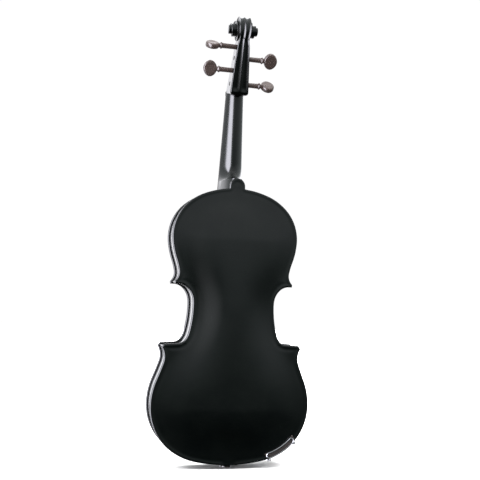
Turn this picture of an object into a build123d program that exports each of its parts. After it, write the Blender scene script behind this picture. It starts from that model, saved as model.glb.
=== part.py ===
from build123d import *
import math
import os

# A full-size violin, hung by its neck, as an assembly of separate pieces.
#
# Frame, in millimetres: +Z runs up the length of the violin to the scroll, the belly (the plate
# with the sound holes) faces -Y and the back plate faces +Y. The treble side, with the E string,
# is +X and the bass side, with the G string, is -X. The origin is the centre of the end button's
# end face, half way through the depth of the ribs.

# ---------------------------------------------------------------- driving dimensions

button_reach = 5.2  # how far the end button stands out of the body
body_length = 356.0
lower_bout_width = 209.2
waist_width = 108.5
upper_bout_width = 167.2
lower_bout_height = 73.6  # widest line of the lower bout, above the body's bottom edge
waist_height = 203.0
upper_bout_drop = 69.9  # widest line of the upper bout, below the body's top edge
corner_inset_lower = 12.2  # corner tip, in from the widest line of its bout
corner_inset_upper = 4.9

rib_height = 31.0  # from plate to plate
rib_thickness = 1.1
overhang = 2.5  # plate edge beyond the ribs
plate_edge = 4.0  # thickness of both plates at the edge
back_arch = 15.0  # back plate's crown above the ribs
belly_arch = 16.0
plate_wall = 2.8  # thickness of both plates where they are hollowed
lining_thickness = 2.0
lining_height = 8.0
sound_hole_path = [(23, 30), (27, 36.5), (31.5, 31), (36.5, 0), (41, -30), (45.5, -37), (51, -31)]
upper_eye_radius = 3.2
lower_eye_radius = 4.3
block_depth = 16.0  # end and neck blocks, along the body
block_width = 54.0
sound_post_radius = 3.0
sound_post_x = 19.0
sound_post_behind = 6.0  # from the bridge's centre towards the tail
bass_bar_length = 270.0
bass_bar_width = 5.5
bass_bar_depth = 11.0
bass_bar_x = -16.0

button_width = 21.0  # the back plate's tab that covers the neck's heel
button_tab = 13.5
neck_length = 130.0  # body edge to nut
neck_pitch = 6.0  # degrees that the fingerboard's seat leans to the back of the body's plane
overstand = 7.2  # fingerboard's seat above the belly's edge, at the body's top
neck_depth_nut = 12.0  # neck alone, without the fingerboard
neck_depth_heel = 14.5
heel_rise = 34.0  # where the heel's curve leaves the neck, above the body's edge
heel_seat_width = 33.4
mortise_depth = 6.0

fingerboard_length = 270.0
fingerboard_nut_width = 24.0
fingerboard_end_width = 42.0
fingerboard_radius = 42.0
fingerboard_edge = 5.0
fingerboard_hollow = 3.0

nut_thickness = 5.5
nut_lift = 0.9  # nut above the fingerboard
string_spread_nut = 16.5
string_spread_bridge = 33.5
body_stop = 195.0  # body's top edge to the bridge
string_radii = {"g": 0.40, "d": 0.38, "a": 0.34, "e": 0.16}
string_lift_bridge = {"g": 7.0, "d": 6.6, "a": 6.0, "e": 5.2}  # above the fingerboard's line
string_gap = 0.1  # string to the slots that it lies in
ball_radius = 1.5

bridge_width = 41.0
bridge_foot = 12.0
bridge_foot_height = 5.0
bridge_thickness = 4.4
bridge_top_thickness = 1.6

afterlength = 54.0  # bridge to the tailpiece's fret
tailpiece_length = 92.0
tailpiece_wide = 41.0
tailpiece_narrow = 21.0
tailpiece_depth = 8.0
tailpiece_end_lift = 11.0  # tail end's middle above the belly's edge
tailpiece_tilt = 9.0  # degrees
fret_size = 2.0
tail_gut_radius = 1.1
tail_gut_spread = 9.0
saddle_width = 36.0
saddle_depth = 8.0
saddle_height = 8.5
end_button_radius = 7.2
end_button_neck = 5.0
end_button_shank = 3.9
end_button_ease = 0.8  # slant around the end face
end_button_rim = 1.0
gut_groove = 2.6  # room for the tail gut between the end button's flange and the body
shank_clearance = 0.05

pegbox_lean = 23.0  # degrees, front edge of the pegbox against the body's plane
pegbox_front_length = 67.0
pegbox_nut_width = 24.0
pegbox_throat_width = 15.0
pegbox_nut_depth = 27.0
pegbox_throat_depth = 17.5
pegbox_wall_nut = 5.2
pegbox_wall_throat = 4.0
pegbox_floor = 5.5
scroll_radius = 19.0
scroll_rise = 13.9  # scroll's centre beyond the end of the pegbox's front edge
scroll_shrink = 2 / 3  # what one whole turn leaves of the spiral's radius
scroll_widths = {"outer": 14.5, "second": 25.0, "inner": 33.0, "eye": 40.0}
scroll_eye_radius = 5.5
scroll_root = 4.0  # how far the scroll's first turn runs down into the pegbox
chin_radius = 6.0

peg_rises = {"g": 11.6, "e": 28.2, "d": 43.5, "a": 57.0}  # up the body's axis from the nut
peg_radius_collar = 3.5
peg_taper = 1 / 30  # loss of diameter along the shaft
peg_collar_x = 28.0  # collar, from the violin's middle line
peg_collar_length = 2.6
peg_collar_radius = 4.6
peg_head_height = 21.6
peg_head_length = 18.6
peg_head_thickness = 9.5
peg_waist_radius = 2.8  # between the collar and the head
peg_waist_length = 0.4
peg_end_out = 0.8  # small end of the shaft, out of the pegbox's far wall
peg_depth_share = 0.47  # how deep in the pegbox each peg lies
# Each peg head's face, in degrees up from straight back.
peg_head_tilts = {"g": 45.0, "e": -16.0, "d": -32.0, "a": 58.0}
peg_clearance = 0.04
winding_length = 5.0
winding_depth = 0.9  # turns of string on the peg
winding_x = {"g": -2.4, "e": 2.2, "d": -1.4, "a": 0.6}
winding_gap = 0.3

tuner_pitch = 8.0  # sideways distance between fine tuners
tuner_screw_radius = 1.5
tuner_head_radius = 3.1
tuner_head_height = 4.0
tuner_travel = 3.0
tuner_arm = 15.5  # from the levers' pin to the screw
tuner_clearance = 0.08
pin_radius = 1.0
pin_behind = 7.5  # levers' pin, from the fret towards the tail
lever_thickness = 1.8
lever_gap = 0.3
lever_width = 4.4

clamp_near_x = 53.0  # clamp barrels, from the violin's middle line
clamp_far_x = 86.0
clamp_stand_off = 2.4  # rods' centre line, out from the plates' edge
clamp_grip = 8.5  # how far the clamp's feet reach in over the plates
clamp_plate = 1.8
cork = 1.5
barrel_radius = 2.4
barrel_length = 26.0
clamp_rod_radius = 1.1
clamp_ear = 0.7  # metal of the bracket's ears around each rod
barrel_hole_radius = 0.9
bracket_inset = 0.8  # bracket's edges, in from the cork pad's
clamp_end = 2.0  # how far the clamp runs on past each rod
rod_clearance = 0.06
rod_gap = 6.0  # between the ends of the two rods inside a barrel
cup_centre = (-66.0, 52.0)
cup_half_width = 40.0
cup_half_length = 41.0
cup_thickness = 7.0
cup_clearance = 3.0  # cup's underside over the belly's crown
cup_dish = 4.5
wood_screw_radius = 1.4
wood_screw_length = 8.0
wood_screw_head = 0.8

# ---------------------------------------------------------------- derived places

body_bottom = button_reach
body_top = body_bottom + body_length
half_rib = rib_height / 2
nut_z = body_top + neck_length
bridge_z = body_top - body_stop
seat_slope = math.tan(math.radians(neck_pitch))


def facing_front(y):
    """A plane across the depth at y, whose own axes are X and Z; it faces the belly side."""
    return Plane(origin=(0, y, body_bottom), x_dir=(1, 0, 0), z_dir=(0, -1, 0))


def crown_drop(x, radius=fingerboard_radius):
    """How far a round of this radius has fallen at x from its middle."""
    return radius - math.sqrt(radius**2 - x**2)


def seat_y(z):
    """The fingerboard's seat on the neck, and the line that it follows over the body."""
    return -half_rib - plate_edge - overstand + seat_slope * (z - body_top)


def fingerboard_width_at(z):
    """Width of the fingerboard at a height, narrowing to the nut."""
    along = (nut_z - z) / fingerboard_length
    return fingerboard_nut_width + (fingerboard_end_width - fingerboard_nut_width) * along


def fingerboard_top(x, z):
    """The fingerboard's playing surface, continued past its end."""
    half = min(fingerboard_width_at(z), fingerboard_end_width) / 2
    return seat_y(z) - fingerboard_edge - crown_drop(half) + crown_drop(x)


# ---------------------------------------------------------------- outline of the body

def tangent_chain(start, direction, points):
    """Arcs through the points, each one starting along the end of the one before it."""
    for point in points:
        arc = TangentArc(start, point, tangent=direction)
        start = arc @ 1
        direction = arc % 1


upper_bout_height = body_length - upper_bout_drop
lower_corner = (lower_bout_width / 2 - corner_inset_lower, waist_height - 54.2)
lower_corner_inner = (lower_corner[0] - 3.2, lower_corner[1] + 4.2)
upper_corner = (upper_bout_width / 2 - corner_inset_upper, waist_height + 29.7)
upper_corner_inner = (upper_corner[0] - 0.4, upper_corner[1] - 3.8)


def body_outline(inset):
    """The violin's outline, moved in by inset, with its bottom edge at zero."""
    lower = lower_bout_width / 2
    upper = upper_bout_width / 2
    waist = waist_width / 2
    with BuildSketch() as outline:
        with BuildLine():
            tangent_chain(
                (0, 0),
                (1, 0),
                [
                    (lower * 0.438, 5.1),
                    (lower - 25.6, 21.2),
                    (lower, lower_bout_height),
                    (lower - 6.5, lower_bout_height + 34.2),
                    (lower_corner[0] - 2.2, lower_corner[1] - 20.3),
                    lower_corner,
                ],
            )
            Line(lower_corner, lower_corner_inner)
            tangent_chain(
                (waist, waist_height),
                (0, -1),
                [
                    (waist + 4.65, waist_height - 36.1),
                    (waist + 8.75, waist_height - 44.5),
                    (lower_corner_inner[0] - 17.8, lower_corner_inner[1] + 1.0),
                    lower_corner_inner,
                ],
            )
            tangent_chain(
                (waist, waist_height),
                (0, 1),
                [(waist + 0.3, waist_height + 6), (waist + 7.4, waist_height + 21), upper_corner_inner],
            )
            Line(upper_corner_inner, upper_corner)
            tangent_chain(
                (0, body_length),
                (1, 0),
                [
                    (upper * 0.51, body_length - 8.1),
                    (upper - 17.4, body_length - 23.3),
                    (upper, upper_bout_height),
                    (upper - 5.4, upper_bout_height - 24.3),
                    (upper_corner[0] - 4.6, upper_corner[1] + 14.8),
                    upper_corner,
                ],
            )
            mirror(about=Plane.YZ)
        make_face()
        if inset:
            offset(amount=-inset, kind=Kind.INTERSECTION)
    return outline.sketch


plate_shape = body_outline(0)
rib_outer_shape = body_outline(overhang)
rib_inner_shape = body_outline(overhang + rib_thickness)
lining_inner_shape = body_outline(overhang + rib_thickness + lining_thickness)

# ---------------------------------------------------------------- arching


def blend_width(height):
    """Half width that the arching follows: the three widest lines joined by smooth waves."""
    stations = [
        (lower_bout_height, lower_bout_width / 2),
        (waist_height - 5, waist_width / 2),
        (upper_bout_height, upper_bout_width / 2),
    ]
    if height <= stations[0][0]:
        return stations[0][1]
    for (low, low_width), (high, high_width) in zip(stations, stations[1:]):
        if height <= high:
            wave = (1 - math.cos(math.pi * (height - low) / (high - low))) / 2
            return low_width + (high_width - low_width) * wave
    return stations[-1][1]


def arch_share(x, height):
    """Share of the full arch at a point of the plate: 1 on the crown and 0 at the edge."""
    past_end = max(0, 1 - height / lower_bout_height, 1 - (body_length - height) / upper_bout_drop)
    radial = min(1, math.hypot(x / blend_width(height), past_end))
    along = (height - waist_height) / (body_length / 2)
    return math.cos(math.pi / 2 * radial**1.15) ** 2 * (1 - 0.16 * along**2)


def arched_surface(side, edge, crown):
    """A surface that rises from edge to crown above the ribs, on the +Y or -Y side."""
    reach = 24
    across, down = 36, 60
    rows = []
    for i in range(across + 1):
        x = (lower_bout_width / 2 + reach) * (2 * i / across - 1)
        row = []
        for j in range(down + 1):
            height = -reach + (body_length + 2 * reach) * j / down
            rise = half_rib + edge + (crown - edge) * arch_share(x, height)
            row.append(Vector(x, side * rise, body_bottom + height))
        rows.append(row)
    return Face.make_surface_from_array_of_points(rows, tol=0.02)


def under(surface, side):
    """The space between an arched surface and the middle of the body."""
    return Solid.extrude(surface, Vector(0, -side * 70, 0))


back_outer = under(arched_surface(1, plate_edge, back_arch), 1)
back_inner = under(arched_surface(1, plate_edge - plate_wall, back_arch - plate_wall), 1)
belly_outer = under(arched_surface(-1, plate_edge, belly_arch), -1)
belly_inner = under(arched_surface(-1, plate_edge - plate_wall, belly_arch - plate_wall), -1)


def belly_height(x, height):
    """The belly's outer surface above the middle of the body, as a distance."""
    return half_rib + plate_edge + (belly_arch - plate_edge) * arch_share(x, height)


# ---------------------------------------------------------------- blocks inside the ribs

def corner_zone(corner, reach, up):
    """Half of the body that a corner block fills, as a four-sided outline."""
    foot = corner[0] - reach
    return [
        (foot, corner[1] - up * 17),
        (corner[0] - 11, corner[1] + up * 27),
        (corner[0] + 30, corner[1] + up * 27),
        (corner[0] + 30, corner[1] - up * 17),
    ]


block_zones = {
    "corner_block_upper": corner_zone(upper_corner, 27, 1),
    "corner_block_lower": corner_zone(lower_corner, 44, -1),
}


def block_sketch():
    """Every block's area, so that plates and linings can leave them room."""
    with BuildSketch() as blocks:
        for zone in block_zones.values():
            with BuildLine():
                Polyline(zone, close=True)
            make_face()
        mirror(about=Plane.YZ)
        with Locations((0, 0), (0, body_length)):
            Rectangle(block_width, 2 * (block_depth + overhang + rib_thickness))
    return blocks.sketch


block_area = block_sketch()
foot_bottom = body_top - overhang - rib_thickness - mortise_depth

with BuildPart() as foot_space:
    # The neck's foot: a dovetailed root, wide under the fingerboard and narrow at the button.
    with BuildSketch(Plane.XY.offset(foot_bottom)):
        with BuildLine():
            Polyline(
                (-heel_seat_width / 2, seat_y(body_top) - 1),
                (heel_seat_width / 2, seat_y(body_top) - 1),
                (button_width / 2, half_rib),
                (-button_width / 2, half_rib),
                close=True,
            )
        make_face()
    extrude(amount=body_top + heel_rise - foot_bottom)

with BuildPart() as shank_space:
    with BuildSketch(Plane.XY.offset(-1)):
        Circle(end_button_shank + shank_clearance)
    extrude(amount=body_bottom + block_depth + overhang + rib_thickness + 2)

finished = {}


def keep(name, part):
    """Label a finished piece and remember it for writing."""
    part.label = name
    finished[name] = part


for end, zone in block_zones.items():
    with BuildPart() as block:
        with BuildSketch(facing_front(half_rib)):
            add(rib_inner_shape)
            with BuildLine():
                Polyline(zone, close=True)
            make_face(mode=Mode.INTERSECT)
        extrude(amount=rib_height)
    keep(end + "_treble", block.part)
    with BuildPart() as block_twin:
        add(mirror(block.part, about=Plane.YZ, mode=Mode.PRIVATE))
    keep(end + "_bass", block_twin.part)

with BuildPart() as neck_block:
    with BuildSketch(facing_front(half_rib)):
        add(rib_inner_shape)
        with Locations((0, body_length)):
            Rectangle(block_width, 2 * (block_depth + overhang + rib_thickness), mode=Mode.INTERSECT)
    extrude(amount=rib_height)
    add(foot_space.part, mode=Mode.SUBTRACT)
keep("neck_block", neck_block.part)

with BuildPart() as end_block:
    with BuildSketch(facing_front(half_rib)):
        add(rib_inner_shape)
        with Locations((0, 0)):
            Rectangle(block_width, 2 * (block_depth + overhang + rib_thickness), mode=Mode.INTERSECT)
    extrude(amount=rib_height)
    add(shank_space.part, mode=Mode.SUBTRACT)
keep("end_block", end_block.part)

# ---------------------------------------------------------------- ribs and linings


def mitre(corner, inner_corner, inward):
    """The line on which two ribs meet at a corner, as a point inside and a point outside."""
    middle = ((corner[0] + inner_corner[0]) / 2, (corner[1] + inner_corner[1]) / 2)
    length = math.hypot(*inward)
    step = (inward[0] / length, inward[1] / length)
    inside = (middle[0] + 30 * step[0], middle[1] + 30 * step[1])
    outside = (middle[0] - 60 * step[0], middle[1] - 60 * step[1])
    return inside, outside


upper_in, upper_out = mitre(upper_corner, upper_corner_inner, (-1.18, 0.62))
lower_in, lower_out = mitre(lower_corner, lower_corner_inner, (-1.2, -0.75))
far = lower_bout_width
rib_zones = {
    "rib_upper": [(0, 2 * far), (far, 2 * far), upper_out, upper_in, (0, upper_in[1])],
    "rib_middle": [(0, upper_in[1]), upper_in, upper_out, lower_out, lower_in, (0, lower_in[1])],
    "rib_lower": [(0, lower_in[1]), lower_in, lower_out, (far, -40), (0, -40)],
}
for name, zone in rib_zones.items():
    with BuildPart() as rib:
        with BuildSketch(facing_front(half_rib)):
            add(rib_outer_shape)
            add(rib_inner_shape, mode=Mode.SUBTRACT)
            with BuildLine():
                Polyline(zone, close=True)
            make_face(mode=Mode.INTERSECT)
        extrude(amount=rib_height)
        add(foot_space.part, mode=Mode.SUBTRACT)
        add(shank_space.part, mode=Mode.SUBTRACT)
    keep(name + "_treble", rib.part)
    with BuildPart() as rib_twin:
        add(mirror(rib.part, about=Plane.YZ, mode=Mode.PRIVATE))
    keep(name + "_bass", rib_twin.part)

for name, start in (("back_linings", half_rib), ("belly_linings", lining_height - half_rib)):
    with BuildPart() as linings:
        with BuildSketch(facing_front(start)):
            add(rib_inner_shape)
            add(lining_inner_shape, mode=Mode.SUBTRACT)
            add(block_area, mode=Mode.SUBTRACT)
        extrude(amount=lining_height)
    keep(name, linings.part)

# ---------------------------------------------------------------- back plate

with BuildPart() as back_plate:
    with BuildSketch(facing_front(half_rib)):
        add(plate_shape)
        with Locations((0, body_length + button_tab - button_width / 2)):
            Circle(button_width / 2)
        with Locations((0, body_length)):
            Rectangle(button_width, 2 * (button_tab - button_width / 2))
    extrude(amount=-(back_arch + 5))
    add(back_outer, mode=Mode.INTERSECT)
    with BuildSketch(facing_front(half_rib)) as hollow:
        add(lining_inner_shape)
        add(block_area, mode=Mode.SUBTRACT)
    with BuildPart(mode=Mode.PRIVATE) as back_hollow:
        add(extrude(hollow.sketch, amount=-back_arch, mode=Mode.PRIVATE))
        add(back_inner, mode=Mode.INTERSECT)
    add(back_hollow.part, mode=Mode.SUBTRACT)
keep("back_plate", back_plate.part)


# ---------------------------------------------------------------- belly, bar and post


def sound_hole():
    """One sound hole on the treble side: a leaning S that swells in the middle, with two eyes."""
    nick_height = body_length - body_stop
    path = Spline(*[(x, nick_height + rise) for x, rise in sound_hole_path], mode=Mode.PRIVATE)
    outer, inner = [], []
    stations = 14
    for i in range(stations + 1):
        share = i / stations
        point, direction = path @ share, path % share
        half = 0.8 + 2.1 * math.sin(math.pi * share) ** 2
        outer.append((point.X - direction.Y * half, point.Y + direction.X * half))
        inner.append((point.X + direction.Y * half, point.Y - direction.X * half))
    with BuildSketch() as hole:
        with BuildLine():
            Spline(*outer)
            Spline(*inner)
            Line(outer[0], inner[0])
            Line(outer[-1], inner[-1])
        make_face()
        with Locations(path @ 0):
            Circle(upper_eye_radius)
        with Locations(path @ 1):
            Circle(lower_eye_radius)
    return hole.sketch


hole_shape = sound_hole()
saddle_top = -half_rib - saddle_height
with BuildPart(mode=Mode.PRIVATE) as saddle_space:
    with BuildSketch(facing_front(-half_rib)):
        add(plate_shape)
        Rectangle(saddle_width, 2 * saddle_depth, mode=Mode.INTERSECT)
    extrude(amount=saddle_height)

with BuildPart(mode=Mode.PRIVATE) as belly_hollow:
    with BuildSketch(facing_front(-half_rib)):
        add(lining_inner_shape)
        add(block_area, mode=Mode.SUBTRACT)
    extrude(amount=belly_arch)
    add(belly_inner, mode=Mode.INTERSECT)

with BuildPart() as belly_plate:
    with BuildSketch(facing_front(-half_rib)):
        add(plate_shape)
    extrude(amount=belly_arch + 5)
    add(belly_outer, mode=Mode.INTERSECT)
    add(belly_hollow.part, mode=Mode.SUBTRACT)
    with BuildSketch(facing_front(-half_rib + 1)):
        add(hole_shape)
        mirror(hole_shape, about=Plane.YZ)
    extrude(amount=belly_arch + 5, mode=Mode.SUBTRACT)
    add(foot_space.part, mode=Mode.SUBTRACT)
    add(saddle_space.part, mode=Mode.SUBTRACT)
keep("belly_plate", belly_plate.part)

with BuildPart() as bass_bar:
    # A strip with tapered ends, its upper edge fitted to the inside of the belly.
    bar_middle = bridge_z + 8
    bar_ends = (bar_middle - bass_bar_length / 2, bar_middle + bass_bar_length / 2)
    bar_crown = -half_rib - belly_arch + plate_wall
    with BuildSketch(Plane.YZ.offset(bass_bar_x - bass_bar_width / 2)):
        with BuildLine():
            ThreePointArc(
                (-half_rib - 3, bar_ends[0]),
                (bar_crown + bass_bar_depth, bar_middle),
                (-half_rib - 3, bar_ends[1]),
            )
            Polyline(
                (-half_rib - 3, bar_ends[1]),
                (bar_crown - 5, bar_ends[1]),
                (bar_crown - 5, bar_ends[0]),
                (-half_rib - 3, bar_ends[0]),
            )
        make_face()
    extrude(amount=bass_bar_width)
    add(belly_inner, mode=Mode.INTERSECT)
keep("bass_bar", bass_bar.part)

with BuildPart() as sound_post:
    with BuildSketch(Plane.XZ.offset(-half_rib - back_arch)):
        with Locations((sound_post_x, bridge_z - sound_post_behind)):
            Circle(sound_post_radius)
    extrude(amount=2 * half_rib + back_arch + belly_arch)
    add(belly_inner, mode=Mode.INTERSECT)
    add(back_inner, mode=Mode.INTERSECT)
keep("sound_post", sound_post.part)

with BuildPart() as end_button:
    with BuildSketch(Plane.YZ):
        with BuildLine():
            Polyline(
                (0, 0),
                (end_button_radius - end_button_ease, 0),
                (end_button_radius, end_button_ease),
                (end_button_radius, end_button_ease + end_button_rim),
                (end_button_neck, button_reach - gut_groove),
                (end_button_neck, body_bottom + overhang),
                (end_button_shank, body_bottom + overhang),
                (end_button_shank, body_bottom + block_depth + overhang),
                (0, body_bottom + block_depth + overhang),
                close=True,
            )
        make_face()
    revolve(axis=Axis.Z)
keep("end_button", end_button.part)

# ---------------------------------------------------------------- neck, pegbox and scroll

pegbox_foot = (seat_y(nut_z + nut_thickness), nut_z + nut_thickness)
lean_along = (math.sin(math.radians(pegbox_lean)), math.cos(math.radians(pegbox_lean)))
lean_across = (lean_along[1], -lean_along[0])


def head_point(along, across):
    """A place in the head's side view, from the foot of the pegbox's front edge."""
    return (
        pegbox_foot[0] + along * lean_along[0] + across * lean_across[0],
        pegbox_foot[1] + along * lean_along[1] + across * lean_across[1],
    )


def pegbox_depth(along):
    """Depth of the pegbox from its front edge to its spine."""
    share = along / pegbox_front_length
    return pegbox_nut_depth + (pegbox_throat_depth - pegbox_nut_depth) * share


def pegbox_width(z):
    """Outside width of the pegbox at a height; it narrows evenly to the scroll."""
    share = (z - nut_z) / (head_point(pegbox_front_length, 0)[1] - nut_z)
    return pegbox_nut_width + (pegbox_throat_width - pegbox_nut_width) * share


def neck_section(z, depth, back_width, fullness):
    """A section across the neck: flat seat in front, and a rounded back that fullness squares."""
    width = fingerboard_width_at(z)
    steps = 12
    with BuildSketch(Plane.XY.offset(z)) as section:
        with BuildLine():
            points = []
            for i in range(steps + 1):
                turn = math.pi * i / steps
                reach = math.sin(turn) ** (2 / fullness)
                half = width / 2 + (back_width / 2 - width / 2) * reach
                swing = math.copysign(abs(math.cos(turn)) ** (2 / fullness), math.cos(turn))
                points.append((half * swing, seat_y(z) + depth * reach))
            Spline(*points)
            Line(points[-1], points[0])
        make_face()
    return section.sketch


def heel_depth(z):
    """Depth of the heel: full down to the button, then a quarter round up to the neck."""
    full = half_rib - seat_y(z)
    if z <= body_top + button_tab:
        return full
    share = (z - body_top - button_tab) / (heel_rise - button_tab)
    return full - (full - neck_depth_heel) * math.sqrt(max(0, 1 - (1 - share) ** 2))


scroll_centre = head_point(pegbox_front_length + scroll_rise, 0)


def spiral_point(turn):
    """A point of the scroll's spiral in side view, from behind the centre over the top."""
    angle = math.radians(-10) + 2 * math.pi * turn
    radius = scroll_radius * scroll_shrink**turn
    return (scroll_centre[0] + radius * math.cos(angle), scroll_centre[1] + radius * math.sin(angle))


def spiral(first, last):
    """The spiral between two even twelfths of a turn, as arcs of a sixth of a turn each."""
    for twelfth in range(first, last, 2):
        ThreePointArc(*[spiral_point((twelfth + i) / 12) for i in range(3)])


def peg_place(string):
    """Where a peg's axis crosses the violin's middle plane, as Y and Z."""
    along = (peg_rises[string] - nut_thickness) / lean_along[1]
    across = pegbox_depth(along) * peg_depth_share
    y, z = head_point(along, across)
    lift = (nut_z + peg_rises[string] - z) / lean_along[1]
    return head_point(along + lift, pegbox_depth(along + lift) * peg_depth_share)


def peg_radius(from_collar):
    """Radius of a peg's tapered shaft at a distance inward from its collar."""
    return peg_radius_collar - from_collar * peg_taper / 2


peg_side = {"g": -1, "d": -1, "a": 1, "e": 1}


def peg_plane(string):
    """Plane across a peg at the violin's middle, facing out to the peg's head."""
    y, z = peg_place(string)
    return Plane(origin=(0, y, z), x_dir=(0, 1, 0), z_dir=(peg_side[string], 0, 0))


throat_z = head_point(pegbox_front_length, 0)[1]


def front_view(inset):
    """The head's tapering front view from below the nut to the throat, moved in by an inset."""
    low, high = nut_z - 14, throat_z + 6
    wall_low = inset * pegbox_wall_nut
    wall_high = inset * pegbox_wall_throat
    with BuildSketch(Plane.XZ.offset(-100)) as view:
        with BuildLine():
            Polyline(
                (-pegbox_width(low) / 2 + wall_low, low),
                (pegbox_width(low) / 2 - wall_low, low),
                (pegbox_width(high) / 2 - wall_high, high),
                (-pegbox_width(high) / 2 + wall_high, high),
                close=True,
            )
        make_face()
    return view.sketch


with BuildPart(mode=Mode.PRIVATE) as pegbox_body:
    with BuildSketch(Plane.YZ):
        neck_join = nut_z - 12
        chin = head_point(0, pegbox_nut_depth)
        with BuildLine():
            Polyline(
                (seat_y(neck_join), neck_join),
                pegbox_foot,
                head_point(pegbox_front_length, 0),
                head_point(pegbox_front_length, pegbox_throat_depth),
                chin,
                (seat_y(neck_join) + neck_depth_nut - 1.5, neck_join),
                close=True,
            )
        make_face()
        fillet(vertices().sort_by_distance((0, chin[0], chin[1]))[0], chin_radius)
    extrude(amount=pegbox_nut_width, both=True)
    extrude(front_view(0), amount=200, mode=Mode.INTERSECT)

with BuildPart(mode=Mode.PRIVATE) as pegbox_space:
    with BuildSketch(Plane.YZ):
        box_end = pegbox_front_length - 1
        with BuildLine():
            Polyline(
                head_point(1.5, -8),
                head_point(1.5, pegbox_depth(0) - pegbox_floor),
                head_point(box_end, pegbox_depth(box_end) - pegbox_floor),
                head_point(box_end, -8),
                close=True,
            )
        make_face()
    extrude(amount=pegbox_nut_width, both=True)
    extrude(front_view(1), amount=200, mode=Mode.INTERSECT)

seat_plane = Plane(
    origin=(0, seat_y(body_top), body_top),
    x_dir=(1, 0, 0),
    z_dir=(0, math.cos(math.radians(neck_pitch)), -math.sin(math.radians(neck_pitch))),
)
with BuildPart() as neck:
    heel_sections = [neck_section(foot_bottom, heel_depth(foot_bottom), button_width - 1, 3.2)]
    steps = 7
    for i in range(steps + 1):
        climb = 1 - math.cos(math.pi / 2 * i / steps)
        z = body_top + button_tab + (heel_rise - button_tab) * climb
        fullness = 3.2 - 1.2 * i / steps
        heel_sections.append(neck_section(z, heel_depth(z), button_width - 1 - i, fullness))
    loft(heel_sections, ruled=True)
    loft(
        [
            heel_sections[-1],
            neck_section(nut_z - 10, neck_depth_nut, button_width - 1 - steps, 2.0),
        ]
    )
    extrude(
        neck_section(nut_z - 10, neck_depth_nut, button_width - 1 - steps, 2.0), amount=4
    )
    add(pegbox_body.part)
    with BuildSketch(Plane.YZ):
        with BuildLine():
            spiral(0, 10)
            root = pegbox_front_length - scroll_root
            Polyline(
                spiral_point(10 / 12),
                head_point(root, pegbox_depth(root) / 2),
                head_point(root, pegbox_depth(root)),
                spiral_point(0),
            )
        make_face()
    extrude(amount=scroll_widths["outer"] / 2, both=True)
    for level, first, last in (("second", 8, 20), ("inner", 20, 32)):
        with BuildSketch(Plane.YZ):
            with BuildLine():
                spiral(first, last)
                Line(spiral_point(last / 12), spiral_point(first / 12))
            make_face()
        extrude(amount=scroll_widths[level] / 2, both=True)
    with BuildSketch(Plane.YZ):
        with Locations(scroll_centre):
            Circle(scroll_eye_radius)
    extrude(amount=scroll_widths["eye"] / 2, both=True)
    split(bisect_by=seat_plane, keep=Keep.TOP)
    add(pegbox_space.part, mode=Mode.SUBTRACT)
    for string in peg_side:
        with Locations(peg_plane(string)):
            reach = pegbox_nut_width
            near = peg_radius(peg_collar_x - reach) + peg_clearance
            far_end = peg_radius(peg_collar_x + reach) + peg_clearance
            Cone(far_end, near, 2 * reach, mode=Mode.SUBTRACT)
keep("neck", neck.part)

# ---------------------------------------------------------------- fingerboard, nut and saddle


def fingerboard_section(z):
    """A section across the fingerboard: flat under, upright edges, round on top."""
    half = fingerboard_width_at(z) / 2
    low = seat_y(z)
    with BuildSketch(Plane.XY.offset(z)) as section:
        with BuildLine():
            Polyline(
                (-half, low - fingerboard_edge),
                (-half, low),
                (half, low),
                (half, low - fingerboard_edge),
            )
            ThreePointArc(
                (half, low - fingerboard_edge),
                (0, low - fingerboard_edge - crown_drop(half)),
                (-half, low - fingerboard_edge),
            )
        make_face()
    return section.sketch


fingerboard_end = nut_z - fingerboard_length
with BuildPart() as fingerboard:
    loft([fingerboard_section(fingerboard_end), fingerboard_section(nut_z)])
    # The free end is hollowed underneath, clear of the neck and of both edges.
    with BuildSketch(Plane.XY.offset(fingerboard_end - 1)):
        with Locations((0, seat_y(fingerboard_end) + 1)):
            Ellipse(fingerboard_end_width / 2 - 6, fingerboard_hollow + 3)
    with BuildSketch(Plane.XY.offset(body_top - 14)):
        with Locations((0, seat_y(body_top - 14) + 1)):
            Ellipse(fingerboard_width_at(body_top) / 2 - 6, 2)
    loft(mode=Mode.SUBTRACT)
keep("fingerboard", fingerboard.part)


# ---------------------------------------------------------------- strings

string_order = ["g", "d", "a", "e"]


def spread(string, total):
    """A string's sideways place in a set of four that spans total."""
    return total * (string_order.index(string) / 3 - 0.5)


def string_at_nut(string):
    """Middle of a string where it leaves the nut for the bridge."""
    x = spread(string, string_spread_nut)
    return Vector(x, fingerboard_top(x, nut_z) - nut_lift + 0.4 - string_radii[string], nut_z + 1)


def string_at_bridge(string):
    """Middle of a string on the bridge."""
    x = spread(string, string_spread_bridge)
    return Vector(x, fingerboard_top(x, bridge_z) - string_lift_bridge[string], bridge_z)


fret_z = bridge_z - afterlength
pin_z = fret_z - pin_behind
tail_slope = math.tan(math.radians(tailpiece_tilt))
tail_y = -half_rib - plate_edge - tailpiece_end_lift


def tailpiece_line(z):
    """Middle of the tailpiece's upper face along its length."""
    return tail_y - tailpiece_depth / 2 - tail_slope * (z - (fret_z - tailpiece_length))


def string_at_fret(string):
    """Middle of a string where it crosses the tailpiece's fret."""
    x = spread(string, 3 * tuner_pitch)
    return Vector(x, tailpiece_line(fret_z) + crown_drop(x) - fret_size - string_radii[string], fret_z)


def string_at_peg(string):
    """Where a string meets the outside of its winding on the peg."""
    y, z = peg_place(string)
    out = peg_radius(peg_collar_x - peg_side[string] * winding_x[string]) + winding_depth
    return Vector(winding_x[string], y - out - string_radii[string] - winding_gap, z)


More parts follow.
